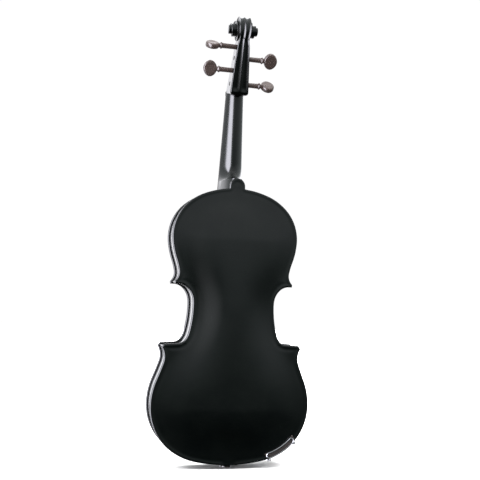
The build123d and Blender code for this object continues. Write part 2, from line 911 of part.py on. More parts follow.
def string_at_ball(string):
    """Middle of the ball that ends a string, against its tuner's hook."""
    fret = string_at_fret(string)
    return Vector(fret.X, fret.Y + 0.5, pin_z - lever_thickness / 2 - lever_gap - ball_radius)


def string_route(string):
    """The corners that a string turns, from its ball to its peg."""
    nut_front = string_at_nut(string)
    nut_back = nut_front + Vector(0, 0.5, nut_thickness - 2)
    return [
        string_at_ball(string),
        string_at_fret(string),
        string_at_bridge(string),
        nut_front,
        nut_back,
        string_at_peg(string),
    ]


def round_wire(route, radius):
    """A round wire along a route, with round elbows."""
    with BuildPart(mode=Mode.PRIVATE) as wire:
        for start, end in zip(route, route[1:]):
            with BuildSketch(Plane(origin=start, z_dir=end - start)):
                Circle(radius)
            extrude(amount=(end - start).length)
        with Locations(*route[1:-1]):
            Sphere(radius)
    return wire.part


for string in string_order:
    with BuildPart() as string_wire:
        add(round_wire(string_route(string), string_radii[string]))
        with Locations(string_at_ball(string)):
            Cylinder(ball_radius, 2 * ball_radius, rotation=(0, 90, 0))
    keep(f"string_{string}", string_wire.part)


def string_room():
    """The strings, thicker by their gap, to cut the slots that they lie in."""
    with BuildPart(mode=Mode.PRIVATE) as room:
        for string in string_order:
            add(round_wire(string_route(string), string_radii[string] + string_gap))
    return room.part


slots = string_room()

with BuildPart() as nut:
    with BuildSketch(Plane.XY.offset(nut_z)):
        half = fingerboard_nut_width / 2
        rise = fingerboard_edge + nut_lift
        with BuildLine():
            Polyline((-half, seat_y(nut_z) - rise), (-half, half_rib), (half, half_rib))
            Line((half, half_rib), (half, seat_y(nut_z) - rise))
            ThreePointArc(
                (half, seat_y(nut_z) - rise),
                (0, seat_y(nut_z) - rise - crown_drop(half)),
                (-half, seat_y(nut_z) - rise),
            )
        make_face()
    extrude(amount=nut_thickness)
    split(bisect_by=seat_plane, keep=Keep.BOTTOM)
    add(slots, mode=Mode.SUBTRACT)
keep("nut", nut.part)

# ---------------------------------------------------------------- bridge

bridge_crown = fingerboard_top(0, bridge_z) - (string_lift_bridge["d"] + string_lift_bridge["a"]) / 2
with BuildPart() as bridge:
    bridge_half = bridge_width / 2
    feet_y = -belly_height(bridge_half, bridge_z - body_bottom)
    shoulder = spread("e", string_spread_bridge) + 3
    waist_y = (feet_y + bridge_crown) / 2
    with BuildSketch(Plane.XY.offset(bridge_z)):
        with BuildLine():
            Polyline(
                (bridge_half, feet_y + 8),
                (bridge_half, feet_y - bridge_foot_height / 2),
                (bridge_half - 4, feet_y - bridge_foot_height),
                (bridge_half - 5.5, waist_y + 2),
                (bridge_half - 2.5, waist_y - 3),
                (shoulder, bridge_crown + crown_drop(shoulder)),
            )
            ThreePointArc(
                (shoulder, bridge_crown + crown_drop(shoulder)),
                (0, bridge_crown),
                (-shoulder, bridge_crown + crown_drop(shoulder)),
            )
            Polyline(
                (-shoulder, bridge_crown + crown_drop(shoulder)),
                (-bridge_half + 2.5, waist_y - 3),
                (-bridge_half + 5.5, waist_y + 2),
                (-bridge_half + 4, feet_y - bridge_foot_height),
                (-bridge_half, feet_y - bridge_foot_height / 2),
                (-bridge_half, feet_y + 8),
            )
            Polyline(
                (-bridge_half, feet_y + 8),
                (-bridge_half + bridge_foot, feet_y + 8),
                (-bridge_half + bridge_foot, feet_y - bridge_foot_height + 1),
            )
            ThreePointArc(
                (-bridge_half + bridge_foot, feet_y - bridge_foot_height + 1),
                (0, feet_y - bridge_foot_height - 5),
                (bridge_half - bridge_foot, feet_y - bridge_foot_height + 1),
            )
            Polyline(
                (bridge_half - bridge_foot, feet_y - bridge_foot_height + 1),
                (bridge_half - bridge_foot, feet_y + 8),
                (bridge_half, feet_y + 8),
            )
        make_face()
        # The heart, and a kidney cut on each side of it.
        with Locations((0, waist_y - 2)):
            Circle(2.6, mode=Mode.SUBTRACT)
        with Locations((0, waist_y + 1)):
            Rectangle(1.8, 6, mode=Mode.SUBTRACT)
        for side in (-1, 1):
            with Locations((side * (bridge_half - 10), waist_y + 1.5)):
                Ellipse(3.4, 2.4, mode=Mode.SUBTRACT)
    extrude(amount=bridge_thickness / 2, both=True)
    with BuildSketch(Plane.YZ):
        # The side that faces the tail is upright, and the other leans in to the thin top.
        with BuildLine():
            Polyline(
                (feet_y + 9, bridge_z - bridge_thickness / 2),
                (bridge_crown - 4, bridge_z - bridge_thickness / 2),
                (bridge_crown - 4, bridge_z - bridge_thickness / 2 + bridge_top_thickness),
                (feet_y + 9, bridge_z + bridge_thickness / 2),
                close=True,
            )
        make_face()
    extrude(amount=bridge_half, both=True, mode=Mode.INTERSECT)
    add(belly_outer, mode=Mode.SUBTRACT)
    add(slots, mode=Mode.SUBTRACT)
keep("bridge", bridge.part)

# ---------------------------------------------------------------- pegs and their windings

for string in string_order:
    half_box = pegbox_width(peg_place(string)[1]) / 2
    far_end = -half_box - peg_end_out
    collar = peg_collar_x
    place = peg_plane(string)
    peg_y, peg_z = peg_place(string)
    with BuildSketch(Plane.XZ) as peg_profile:
        with BuildLine():
            Polyline(
                (0, far_end),
                (peg_radius(collar - far_end), far_end),
                (peg_radius_collar, collar),
                (peg_collar_radius, collar),
                (peg_collar_radius, collar + peg_collar_length),
                (peg_waist_radius, collar + peg_collar_length),
                (peg_waist_radius, collar + peg_head_length / 2),
                (0, collar + peg_head_length / 2),
                close=True,
            )
        make_face()
    shaft = revolve(peg_profile.sketch, axis=Axis.Z, mode=Mode.PRIVATE)
    tilt = math.radians(peg_head_tilts[string])
    head_from_axis = collar + peg_collar_length + peg_waist_length + peg_head_length / 2
    head_x = peg_side[string] * head_from_axis
    face = Plane(
        origin=(head_x, peg_y, peg_z), x_dir=(1, 0, 0), z_dir=(0, math.cos(tilt), math.sin(tilt))
    )
    with BuildPart() as peg:
        add(place * shaft)
        with BuildSketch(face):
            Ellipse(peg_head_length / 2, peg_head_height / 2)
        extrude(amount=peg_head_thickness / 2, both=True)
    keep(f"peg_{string}", peg.part)

    low = peg_side[string] * winding_x[string] - winding_length / 2
    high = low + winding_length
    with BuildSketch(Plane.XZ) as winding_profile:
        with BuildLine():
            Polyline(
                (peg_radius(collar - low), low),
                (peg_radius(collar - low) + winding_depth, low),
                (peg_radius(collar - high) + winding_depth, high),
                (peg_radius(collar - high), high),
                close=True,
            )
        make_face()
    with BuildPart() as winding:
        add(place * revolve(winding_profile.sketch, axis=Axis.Z, mode=Mode.PRIVATE))
    keep(f"winding_{string}", winding.part)

# ---------------------------------------------------------------- tailpiece and its tuners


def tailpiece_section(z, width, rise):
    """A section across the tailpiece: flat under and round on top."""
    half = width / 2
    top = tailpiece_line(z)
    with BuildSketch(Plane.XY.offset(z)) as section:
        with BuildLine():
            side_y = top + crown_drop(half)
            Polyline((-half, side_y), (-half, side_y + rise), (half, side_y + rise), (half, side_y))
            ThreePointArc((half, side_y), (0, top), (-half, side_y))
        make_face()
    return section.sketch


tail_z = fret_z - tailpiece_length
fret_top = tailpiece_line(fret_z)
pocket_half = 1.5 * tuner_pitch + lever_width / 2 + 0.8
pin_y = fret_top + 7.4
screw_z = pin_z - tuner_arm
gut_y = tailpiece_line(tail_z) + 3.2

with BuildPart() as tuner_slots:
    for string in string_order:
        x = spread(string, 3 * tuner_pitch)
        with BuildSketch(Plane.XY.offset(pin_z - lever_thickness / 2 - 0.6)):
            with Locations((x, pin_y - 8)):
                Rectangle(lever_width + 0.8, 16)
        extrude(amount=lever_thickness + 0.6 + 2.2)
        with BuildSketch(Plane.XZ.offset(-pin_y)):
            with Locations((x, screw_z)):
                Circle(tuner_screw_radius + tuner_clearance)
        extrude(amount=20)

with BuildPart() as tailpiece:
    blunt_end = tailpiece_section(fret_z - 2, tailpiece_wide, 4.2)
    loft([tailpiece_section(tail_z, tailpiece_narrow, 6.0), blunt_end])
    extrude(blunt_end, amount=2 + fret_size)
    # A pocket underneath takes the tuners' levers, and a pin across it carries them.
    with BuildSketch(Plane.XZ.offset(-fret_top - 4.4)):
        with Locations((0, pin_z - 8.5)):
            Rectangle(2 * pocket_half, 26)
    extrude(amount=-20, mode=Mode.SUBTRACT)
    add(tuner_slots.part, mode=Mode.SUBTRACT)
    with BuildSketch(Plane.YZ):
        with Locations((pin_y, pin_z)):
            Circle(pin_radius)
    extrude(amount=pocket_half + 1.5, both=True, mode=Mode.SUBTRACT)
    for side in (-1, 1):
        with BuildSketch(Plane.XY.offset(tail_z - 1)):
            with Locations((side * tail_gut_spread / 2, gut_y)):
                Circle(tail_gut_radius)
        extrude(amount=8, mode=Mode.SUBTRACT)
keep("tailpiece", tailpiece.part)

with BuildPart() as tuner_pin:
    with BuildSketch(Plane.YZ):
        with Locations((pin_y, pin_z)):
            Circle(pin_radius)
    extrude(amount=pocket_half + 1.5, both=True)
keep("tuner_pin", tuner_pin.part)

with BuildPart() as tailpiece_fret:
    with BuildSketch(Plane.XY.offset(fret_z - fret_size / 2)):
        half = tailpiece_wide / 2 - 3
        with BuildLine():
            side_y = fret_top + crown_drop(half)
            ThreePointArc((-half, side_y), (0, fret_top), (half, side_y))
            ThreePointArc(
                (-half, side_y - fret_size), (0, fret_top - fret_size), (half, side_y - fret_size)
            )
            for side in (-1, 1):
                Line((side * half, side_y), (side * half, side_y - fret_size))
        make_face()
    extrude(amount=fret_size)
    add(slots, mode=Mode.SUBTRACT)
    add(tailpiece.part, mode=Mode.SUBTRACT)
keep("tailpiece_fret", tailpiece_fret.part)

for string in string_order:
    x = spread(string, 3 * tuner_pitch)
    ball = string_at_ball(string)
    with BuildPart() as lever:
        with BuildSketch(Plane.YZ.offset(x - lever_width / 2)):
            with Locations((pin_y, pin_z)):
                Circle(2.0)
            with BuildLine():
                tail_drop = tuner_travel
                Polyline(
                    (ball.Y - 1.6, pin_z + lever_thickness / 2),
                    (ball.Y - 1.6, pin_z - lever_thickness / 2),
                    (pin_y - 1.2, pin_z - lever_thickness / 2),
                    (pin_y + tail_drop - lever_thickness / 2, screw_z + 2.5),
                    (pin_y + tail_drop - lever_thickness / 2, screw_z - 2.5),
                    (pin_y + tail_drop + lever_thickness / 2, screw_z - 2.5),
                    (pin_y + tail_drop + lever_thickness / 2, screw_z + 2.5),
                    (pin_y + 1.2, pin_z + lever_thickness / 2),
                    close=True,
                )
            make_face()
        extrude(amount=lever_width)
        with BuildSketch(Plane.YZ.offset(x - lever_width / 2)):
            with Locations((pin_y, pin_z)):
                Circle(pin_radius + tuner_clearance / 2)
        extrude(amount=lever_width, mode=Mode.SUBTRACT)
        with BuildSketch(Plane.XY.offset(pin_z - 3)):
            # The fork that the string passes through, in front of its ball.
            with Locations((x, ball.Y - 2)):
                Rectangle(2 * (string_radii[string] + lever_gap), 6)
        extrude(amount=6, mode=Mode.SUBTRACT)
    keep(f"tuner_lever_{string}", lever.part)

    with BuildPart() as screw:
        high_z = screw_z + tuner_head_radius
        top_y = tailpiece_line(high_z) + crown_drop(abs(x) - tuner_head_radius) - lever_gap
        tip_y = pin_y + tuner_travel - lever_thickness / 2 - lever_gap
        with BuildSketch(Plane.XZ.offset(-tip_y)):
            with Locations((x, screw_z)):
                Circle(tuner_screw_radius)
        extrude(amount=tip_y - top_y)
        with BuildSketch(Plane.XZ.offset(-top_y)):
            with Locations((x, screw_z)):
                Circle(tuner_head_radius)
        extrude(amount=tuner_head_height)
        chamfer(faces().sort_by(Axis.Y)[0].edges(), 0.5)
    keep(f"tuner_screw_{string}", screw.part)

# ---------------------------------------------------------------- saddle and tail gut

with BuildPart() as saddle:
    add(saddle_space.part)
    with BuildSketch(Plane.YZ):
        # Both long edges of the crest are eased, so that the gut bends over it.
        for z, out in ((body_bottom - 1, 1), (body_bottom + saddle_depth, -1)):
            with BuildLine():
                Polyline(
                    (saddle_top, z),
                    (saddle_top + 2.5, z),
                    (saddle_top, z + out * 3.5),
                    close=True,
                )
            make_face()
    extrude(amount=saddle_width, both=True, mode=Mode.SUBTRACT)
keep("saddle", saddle.part)

gut_z = button_reach - gut_groove / 2
loop_radius = end_button_neck + tail_gut_radius + 0.1
with BuildPart() as tail_gut:
    for side in (-1, 1):
        half_gut = tail_gut_spread / 2
        route = [
            Vector(side * half_gut, gut_y, tail_z + 7),
            Vector(side * half_gut, gut_y, tail_z - 1.5),
            Vector(side * half_gut, saddle_top - tail_gut_radius - 0.2, body_bottom + 2.5),
            Vector(side * half_gut, saddle_top + 0.5, gut_z),
            Vector(side * loop_radius, -half_rib, gut_z),
            Vector(side * loop_radius, 0, gut_z),
        ]
        add(round_wire(route, tail_gut_radius))
    with BuildSketch(Plane.XZ):
        with Locations((loop_radius, gut_z)):
            Circle(tail_gut_radius)
    revolve(axis=Axis.Z, revolution_arc=180)
keep("tail_gut", tail_gut.part)


# ---------------------------------------------------------------- chin rest and its clamp


def edge_height(x):
    """Height of the body's bottom edge at x."""
    probe = Line((x, -50), (x, lower_bout_height), mode=Mode.PRIVATE)
    return min(vertex.Y for vertex in probe.intersect(plate_shape.face()).vertices())


def inward_from(place, distance):
    """A place moved in from the rim towards the middle of the lower bout."""
    x, z = place
    span = math.hypot(x, lower_bout_height - z)
    return x - distance * x / span, z + distance * (lower_bout_height - z) / span


rod_places = [
    inward_from((-x, edge_height(-x)), -clamp_stand_off) for x in (clamp_near_x, clamp_far_x)
]
clamp_spread = math.dist(*rod_places)


def clamp_zone():
    """The slanting strip of the lower bout that lies between the two barrels."""
    (near_x, near_z), (far_x, far_z) = rod_places
    step = ((near_x - far_x) / clamp_spread, (near_z - far_z) / clamp_spread)
    inward = (-step[1], step[0])
    back = clamp_stand_off + clamp_grip
    reach = clamp_stand_off + 2 * clamp_grip

    def from_rod(x, z, along, across):
        return x + along * step[0] + across * inward[0], z + along * step[1] + across * inward[1]

    with BuildSketch() as zone:
        with BuildLine():
            Polyline(
                from_rod(far_x, far_z, -clamp_end, -back),
                from_rod(near_x, near_z, clamp_end, -back),
                from_rod(near_x, near_z, clamp_end, reach),
                from_rod(far_x, far_z, -clamp_end, reach),
                close=True,
            )
        make_face()
    return zone.sketch


def grip_area(edge_inset):
    """The part of the plates' rim that the clamp presses on."""
    with BuildSketch() as grip:
        add(body_outline(edge_inset))
        add(body_outline(clamp_grip), mode=Mode.SUBTRACT)
        add(clamp_zone(), mode=Mode.INTERSECT)
    return grip.sketch


def bracket_area():
    """A clamp bracket from above: the grip, with an ear around each rod."""
    with BuildSketch() as area:
        add(body_outline(bracket_inset))
        add(body_outline(clamp_grip - bracket_inset), mode=Mode.SUBTRACT)
        add(clamp_zone(), mode=Mode.INTERSECT)
        for place in rod_places:
            foot = inward_from(place, clamp_stand_off + clamp_grip / 2)
            with Locations(((place[0] + foot[0]) / 2, (place[1] + foot[1]) / 2)):
                slope = math.degrees(math.atan2(foot[1] - place[1], foot[0] - place[0]))
                width = 2 * (clamp_rod_radius + clamp_ear)
                SlotCenterToCenter(math.dist(place, foot), width, rotation=slope)
    return area.sketch


grip_sketch = grip_area(1.0)
bracket_sketch = bracket_area()
cup_y = -(half_rib + belly_arch + cup_clearance)
foot_y = -(half_rib + plate_edge + cork)

with BuildPart() as cork_pads:
    # A pad on each plate, fitted to its arching.
    with BuildSketch(facing_front(-half_rib - plate_edge + 0.5)):
        add(grip_sketch)
    extrude(amount=cork + 0.5)
    add(belly_outer, mode=Mode.SUBTRACT)
    with BuildSketch(facing_front(half_rib + plate_edge + cork)):
        add(grip_sketch)
    extrude(amount=cork + 0.5)
    add(back_outer, mode=Mode.SUBTRACT)
keep("clamp_corks", cork_pads.part)

screw_centres = [inward_from(place, clamp_stand_off + clamp_grip * 0.6) for place in rod_places]
with BuildPart() as wood_screws:
    for place in screw_centres:
        with BuildSketch(facing_front(foot_y)):
            with Locations(place):
                Circle(wood_screw_radius + 1)
        extrude(amount=wood_screw_head)
        with BuildSketch(facing_front(foot_y)):
            with Locations(place):
                Circle(wood_screw_radius)
        extrude(amount=wood_screw_length)
keep("chin_rest_screws", wood_screws.part)

with BuildPart() as chin_rest:
    with BuildSketch(facing_front(cup_y)):
        with Locations(cup_centre):
            Ellipse(cup_half_width, cup_half_length)
    extrude(amount=cup_thickness)
    ball_size = (cup_half_width**2 + cup_dish**2) / (2 * cup_dish)
    ball_y = cup_y - cup_thickness - ball_size + cup_dish
    with Locations((cup_centre[0], ball_y, body_bottom + cup_centre[1])):
        Sphere(ball_size - 2, mode=Mode.SUBTRACT)
    fillet(edges().filter_by(GeomType.ELLIPSE), 2.0)
    with BuildSketch(facing_front(foot_y - clamp_plate)):
        add(grip_sketch)
    extrude(amount=foot_y - clamp_plate - cup_y)
    add(wood_screws.part, mode=Mode.SUBTRACT)
keep("chin_rest", chin_rest.part)

for name, side in (("clamp_bracket_belly", -1), ("clamp_bracket_back", 1)):
    start = side * (half_rib + plate_edge + cork)
    with BuildPart() as bracket:
        with BuildSketch(facing_front(start)):
            add(bracket_sketch)
        extrude(amount=-side * clamp_plate)
        with BuildSketch(facing_front(start + side * clamp_plate / 2)):
            with Locations(*rod_places):
                Circle(clamp_rod_radius)
        extrude(amount=side * (abs(start) + clamp_plate / 2 - rod_gap / 2))
        if side < 0:
            add(wood_screws.part, mode=Mode.SUBTRACT)
    keep(name, bracket.part)

for name, place in zip(("clamp_barrel_near", "clamp_barrel_far"), rod_places):
    with BuildPart() as barrel:
        with BuildSketch(facing_front(barrel_length / 2)):
            with Locations(place):
                Circle(barrel_radius)
        extrude(amount=barrel_length)
        chamfer(edges().filter_by(GeomType.CIRCLE), 0.6)
        with BuildSketch(facing_front(barrel_length / 2)):
            with Locations(place):
                Circle(clamp_rod_radius + rod_clearance)
        extrude(amount=barrel_length, mode=Mode.SUBTRACT)
        # Two cross holes, for the pin that turns the barrel.
        for y in (-rod_gap / 4, rod_gap / 4):
            with BuildSketch(Plane.XY.offset(body_bottom + place[1] - 2 * barrel_radius)):
                with Locations((place[0], y)):
                    Circle(barrel_hole_radius)
            extrude(amount=4 * barrel_radius, mode=Mode.SUBTRACT)
    keep(name, barrel.part)


# ---------------------------------------------------------------- one file for each piece

os.makedirs("parts", exist_ok=True)
for name, part in finished.items():
    export_step(part, f"parts/{name}.step")
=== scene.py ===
"""A full-size violin in polished black lacquer, standing on its end button and seen from behind.

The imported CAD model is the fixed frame. The carved plates, ribs, neck, scroll, pegs and fittings
are surfaces worked out here in millimetres, in the same frame: +Z runs up to the scroll, the
back faces +Y, the belly faces -Y and the treble side is +X.
"""

import sys

import logging
import math
from collections.abc import Callable
from dataclasses import dataclass, field
from enum import Enum

import bmesh
import bpy
import numpy as np
from mathutils import Matrix, Vector


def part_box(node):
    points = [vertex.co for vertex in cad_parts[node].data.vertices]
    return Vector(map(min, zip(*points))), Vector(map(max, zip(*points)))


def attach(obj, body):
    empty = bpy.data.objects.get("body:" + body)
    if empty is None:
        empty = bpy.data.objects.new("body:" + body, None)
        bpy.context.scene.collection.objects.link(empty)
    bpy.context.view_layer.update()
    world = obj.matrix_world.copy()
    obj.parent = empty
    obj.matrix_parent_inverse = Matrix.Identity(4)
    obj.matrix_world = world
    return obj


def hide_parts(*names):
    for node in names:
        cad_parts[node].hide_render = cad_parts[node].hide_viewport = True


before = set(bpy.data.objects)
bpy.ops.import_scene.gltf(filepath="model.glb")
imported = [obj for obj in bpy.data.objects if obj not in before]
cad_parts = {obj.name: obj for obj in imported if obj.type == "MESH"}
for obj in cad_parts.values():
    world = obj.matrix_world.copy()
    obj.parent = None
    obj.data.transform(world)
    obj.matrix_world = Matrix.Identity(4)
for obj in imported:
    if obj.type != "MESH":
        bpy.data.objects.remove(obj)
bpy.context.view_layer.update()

MM = 0.001
ROOT = "violin"
OVERHANG = 2.5  # millimetres of plate edge beyond the ribs
BODY_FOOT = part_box("rib_lower_treble")[0][2] / MM - OVERHANG  # the plates' bottom edge
BODY_LENGTH = 356.0
HALF_RIB = 15.5  # from the body's middle plane to either plate
NUT_Z = 486.0  # top of the fingerboard, above the body's bottom edge
BOARD_LENGTH = 270.0
BOARD_NUT_WIDTH = 24.0
BOARD_WIDENING = 18.0  # how much wider the fingerboard is at its free end
SEAT_FOOT = -26.7  # the fingerboard's seat at the body's top edge, front to back
SEAT_SLOPE = math.tan(math.radians(6.0))
WAVE_RADIANS = 20  # how far the wave texture's sine turns over one unit at a scale of 1
PEG_RADIUS = 3.5  # at the collar
PEG_TAPER = 1 / 60  # loss of radius along the shaft
PEG_COLLAR = 28.0  # from the violin's middle plane
Array = np.ndarray
Stops = list[tuple[float, str]]
Socket = bpy.types.NodeSocket
log = logging.getLogger("violin")


# ------------------------------------------------------------------ small tools


def linear(colour: str) -> tuple[float, float, float, float]:
    """Turn an sRGB hex colour into the linear values that a shader takes.

    Args:
        colour: Six hex digits, such as "1a1c1c".

    Returns:
        Linear red, green and blue, and an alpha of 1.
    """
    parts = [int(colour[i : i + 2], 16) / 255 for i in (0, 2, 4)]
    red, green, blue = (p / 12.92 if p <= 0.04045 else ((p + 0.055) / 1.055) ** 2.4 for p in parts)
    return red, green, blue, 1.0


def wire(tree: bpy.types.NodeTree, node: bpy.types.Node, inputs: dict) -> None:
    """Give a node's inputs their values, or link them to the output sockets that feed them."""
    for name, value in inputs.items():
        if isinstance(value, bpy.types.NodeSocket):
            tree.links.new(value, node.inputs[name])
        else:
            node.inputs[name].default_value = value


def add_node(
    tree: bpy.types.NodeTree,
    kind: str,
    inputs: dict | None = None,
    stops: Stops | None = None,
    **settings: object,
) -> bpy.types.Node:
    """Add one node with its settings, its values and its links.

    Args:
        tree: The node tree that gets the node.
        kind: Blender's name for the node.
        inputs: Socket name or number to a value, or to the output socket that feeds it.
        stops: Positions and hex colours of a colour ramp.
        settings: The node's own attributes.

    Returns:
        The new node.
    """
    node = tree.nodes.new(kind)
    for name, value in settings.items():
        setattr(node, name, value)
    wire(tree, node, inputs or {})
    if stops:
        elements = node.color_ramp.elements
        while len(elements) < len(stops):
            elements.new(1.0)
        for element, (place, colour) in zip(elements, stops):
            element.position = place
            element.color = linear(colour)
    return node


def noise(tree: bpy.types.NodeTree, place: Socket, size: float, detail: float, **inputs: float) -> Socket:
    """Noise whose largest cells are a size in millimetres across."""
    values = {"Vector": place, "Scale": 1 / MM / size, "Detail": detail, **inputs}
    return add_node(tree, "ShaderNodeTexNoise", values).outputs["Fac"]


def ramp(tree: bpy.types.NodeTree, factor: Socket, *stops: tuple[float, str]) -> Socket:
    """A colour that runs through the stops as the factor rises."""
    return add_node(tree, "ShaderNodeValToRGB", {"Fac": factor}, list(stops)).outputs["Color"]


def spread(
    tree: bpy.types.NodeTree,
    value: Socket,
    start: tuple[float, float],
    end: tuple[float, float | Socket],
    **settings: str,
) -> Socket:
    """Map a value from one range to another.

    Args:
        tree: The node tree.
        value: The socket that feeds it.
        start: The range that the value comes in.
        end: The range that it leaves in.
        settings: The node's own attributes.

    Returns:
        The mapped value.
    """
    ranges = {"From Min": start[0], "From Max": start[1], "To Min": end[0], "To Max": end[1]}
    return add_node(tree, "ShaderNodeMapRange", {"Value": value, **ranges}, **settings).outputs["Result"]


def stretched(tree: bpy.types.NodeTree, place: Socket, scale: tuple[float, float, float]) -> Socket:
    """Places scaled along each axis, so that what is drawn from them runs long where the scale is small."""
    return add_node(tree, "ShaderNodeMapping", {"Vector": place, "Scale": scale}).outputs["Vector"]


def bump(
    tree: bpy.types.NodeTree, height: Socket, strength: float, distance: float, invert: bool = False
) -> Socket:
    """A normal that follows a height, whose full swing is a distance in metres."""
    inputs = {"Height": height, "Strength": strength, "Distance": distance}
    return add_node(tree, "ShaderNodeBump", inputs, invert=invert).outputs["Normal"]


def smooth_step(value: Array, low: float, high: float) -> Array:
    """Rise smoothly from 0 at low to 1 at high."""
    share = np.clip((value - low) / (high - low), 0, 1)
    return share * share * (3 - 2 * share)


# ------------------------------------------------------------------ shells


@dataclass
class Shell:
    """A skin of quads over points in millimetres; quads with two equal corners end as triangles."""

    points: Array
    quads: Array

    def __add__(self, other: "Shell") -> "Shell":
        """Put two shells into one."""
        quads = np.vstack([self.quads, other.quads + len(self.points)])
        return Shell(np.vstack([self.points, other.points]), quads)

    def mirrored(self) -> "Shell":
        """The same shell on the other side of the violin's middle plane."""
        return Shell(self.points * (-1, 1, 1), self.quads[:, ::-1])


def grid_shell(points: Array, close_rows: bool = False, close_columns: bool = False) -> Shell:
    """Skin a grid of points: neighbours along rows and columns make one quad each.

    Args:
        points: An array of rows x columns x 3.
        close_rows: Join the last row to the first.
        close_columns: Join the last column to the first.

    Returns:
        The shell.
    """
    rows, columns, _ = points.shape
    i, j = np.meshgrid(
        np.arange(rows if close_rows else rows - 1),
        np.arange(columns if close_columns else columns - 1),
        indexing="ij",
    )
    i2, j2 = (i + 1) % rows, (j + 1) % columns
    corners = [i * columns + j, i * columns + j2, i2 * columns + j2, i2 * columns + j]
    return Shell(points.reshape(-1, 3), np.stack(corners, -1).reshape(-1, 4))


def unit(rows: Array) -> Array:
    """Rows scaled to a length of 1."""
    return rows / np.linalg.norm(rows, axis=1, keepdims=True)


def left_of(path: Array) -> Array:
    """Directions square to a flat path, to its left, at each of its points."""
    tangent = unit(np.gradient(path, axis=0))
    return np.stack([-tangent[:, 1], tangent[:, 0]], -1)


def quarter_round(away: Array) -> Array:
    """Rise from 0 at the edge to 1 as a quarter of a circle does, when away goes from 0 to 1."""
    return np.sqrt(np.clip(1 - (1 - away) ** 2, 0, 1))


def tube_shell(sections: Array) -> Shell:
    """Skin closed sections one after another, each end closed by drawing it in to its middle.

    Args:
        sections: An array of sections x points round x 3.

    Returns:
        The closed shell.
    """
    first = np.broadcast_to(sections[0].mean(0), sections[0].shape)
    last = np.broadcast_to(sections[-1].mean(0), sections[-1].shape)
    return grid_shell(np.concatenate([first[None], sections, last[None]]), close_columns=True)


def turned_shell(profile: Array, origin: Array, axis: Array, steps: int = 48) -> Shell:
    """Turn a profile about an axis: each point sweeps a circle, and both ends lie on the axis.

    Args:
        profile: Rows of (distance along the axis, radius).
        origin: The place where the distance is zero.
        axis: Direction of the axis.
        steps: Points round the circle.

    Returns:
        The closed shell.
    """
    axis = np.asarray(axis, float) / np.linalg.norm(axis)
    helper = np.array([0.0, 0.0, 1.0]) if abs(axis[2]) < 0.9 else np.array([0.0, 1.0, 0.0])
    side = np.cross(helper, axis)
    side /= np.linalg.norm(side)
    up = np.cross(axis, side)
    turn = np.linspace(0, 2 * np.pi, steps, endpoint=False)
    ring = np.cos(turn)[:, None] * side + np.sin(turn)[:, None] * up
    points = origin + profile[:, :1, None] * axis + profile[:, 1:, None] * ring
    return grid_shell(points, close_columns=True)


def carried_shell(path: Array, radius: float | Array, sides: int = 16) -> Shell:
    """Carry a circle along a path, square to the path at every point.

    Args:
        path: Points along the middle line.
        radius: One radius, or one for each point.
        sides: Points round the circle.

    Returns:
        The closed shell.
    """
    tangent = unit(np.gradient(path, axis=0))
    helper = (1.0, 0.0, 0.0) if np.abs(tangent[:, 0]).mean() < 0.7 else (0.0, 1.0, 0.0)
    side = unit(np.cross(tangent, helper))
    up = np.cross(side, tangent)
    turn = np.linspace(0, 2 * np.pi, sides, endpoint=False)
    size = np.broadcast_to(np.asarray(radius, float), (len(path),))[:, None, None]
    ring = np.cos(turn)[None, :, None] * side[:, None] + np.sin(turn)[None, :, None] * up[:, None]
    return tube_shell(path[:, None] + size * ring)


def measured(node: str) -> Array:
    """A CAD node's box in millimetres, as two corners with heights from the body's bottom edge."""
    return np.array([list(corner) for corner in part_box(node)]) / MM - (0, 0, BODY_FOOT)


def make_object(name: str, shell: Shell) -> bpy.types.Object:
    """Make a mesh object from a shell, with its doubled corners merged and its faces outwards.

    Args:
        name: Name of the object.
        shell: Its skin, in millimetres, with heights from the body's bottom edge.

    Returns:
        The object, at the origin.
    """
    mesh = bpy.data.meshes.new(name)
    count = len(shell.quads)
    mesh.vertices.add(len(shell.points))
    mesh.vertices.foreach_set("co", ((shell.points + (0, 0, BODY_FOOT)) * MM).astype(np.float32).ravel())
    mesh.loops.add(4 * count)
    mesh.loops.foreach_set("vertex_index", shell.quads.astype(np.int32).ravel())
    mesh.polygons.add(count)
    mesh.polygons.foreach_set("loop_start", np.arange(0, 4 * count, 4, dtype=np.int32))
    mesh.update(calc_edges=True)
    work = bmesh.new()
    work.from_mesh(mesh)
    bmesh.ops.remove_doubles(work, verts=work.verts, dist=2e-6)
    bmesh.ops.dissolve_degenerate(work, edges=work.edges, dist=1e-7)
    bmesh.ops.recalc_face_normals(work, faces=work.faces)
    work.to_mesh(mesh)
    work.free()
    thing = bpy.data.objects.new(name, mesh)
    bpy.context.scene.collection.objects.link(thing)
    return thing


def cut(thing: bpy.types.Object, *tools: bpy.types.Object, how: str = "DIFFERENCE") -> None:
    """Cut closed tools out of a closed piece, or join them to it, and remove the tools.

    Args:
        thing: The piece that stays.
        tools: The solids that cut it.
        how: Blender's name for the operation.
    """
    for tool in tools:
        modifier = thing.modifiers.new("cut", "BOOLEAN")
        modifier.operation = how
        modifier.solver = "MANIFOLD"
        modifier.object = tool
        depsgraph = bpy.context.evaluated_depsgraph_get()
        made = bpy.data.meshes.new_from_object(thing.evaluated_get(depsgraph))
        thing.modifiers.clear()
        thing.data = made
        bpy.data.objects.remove(tool)


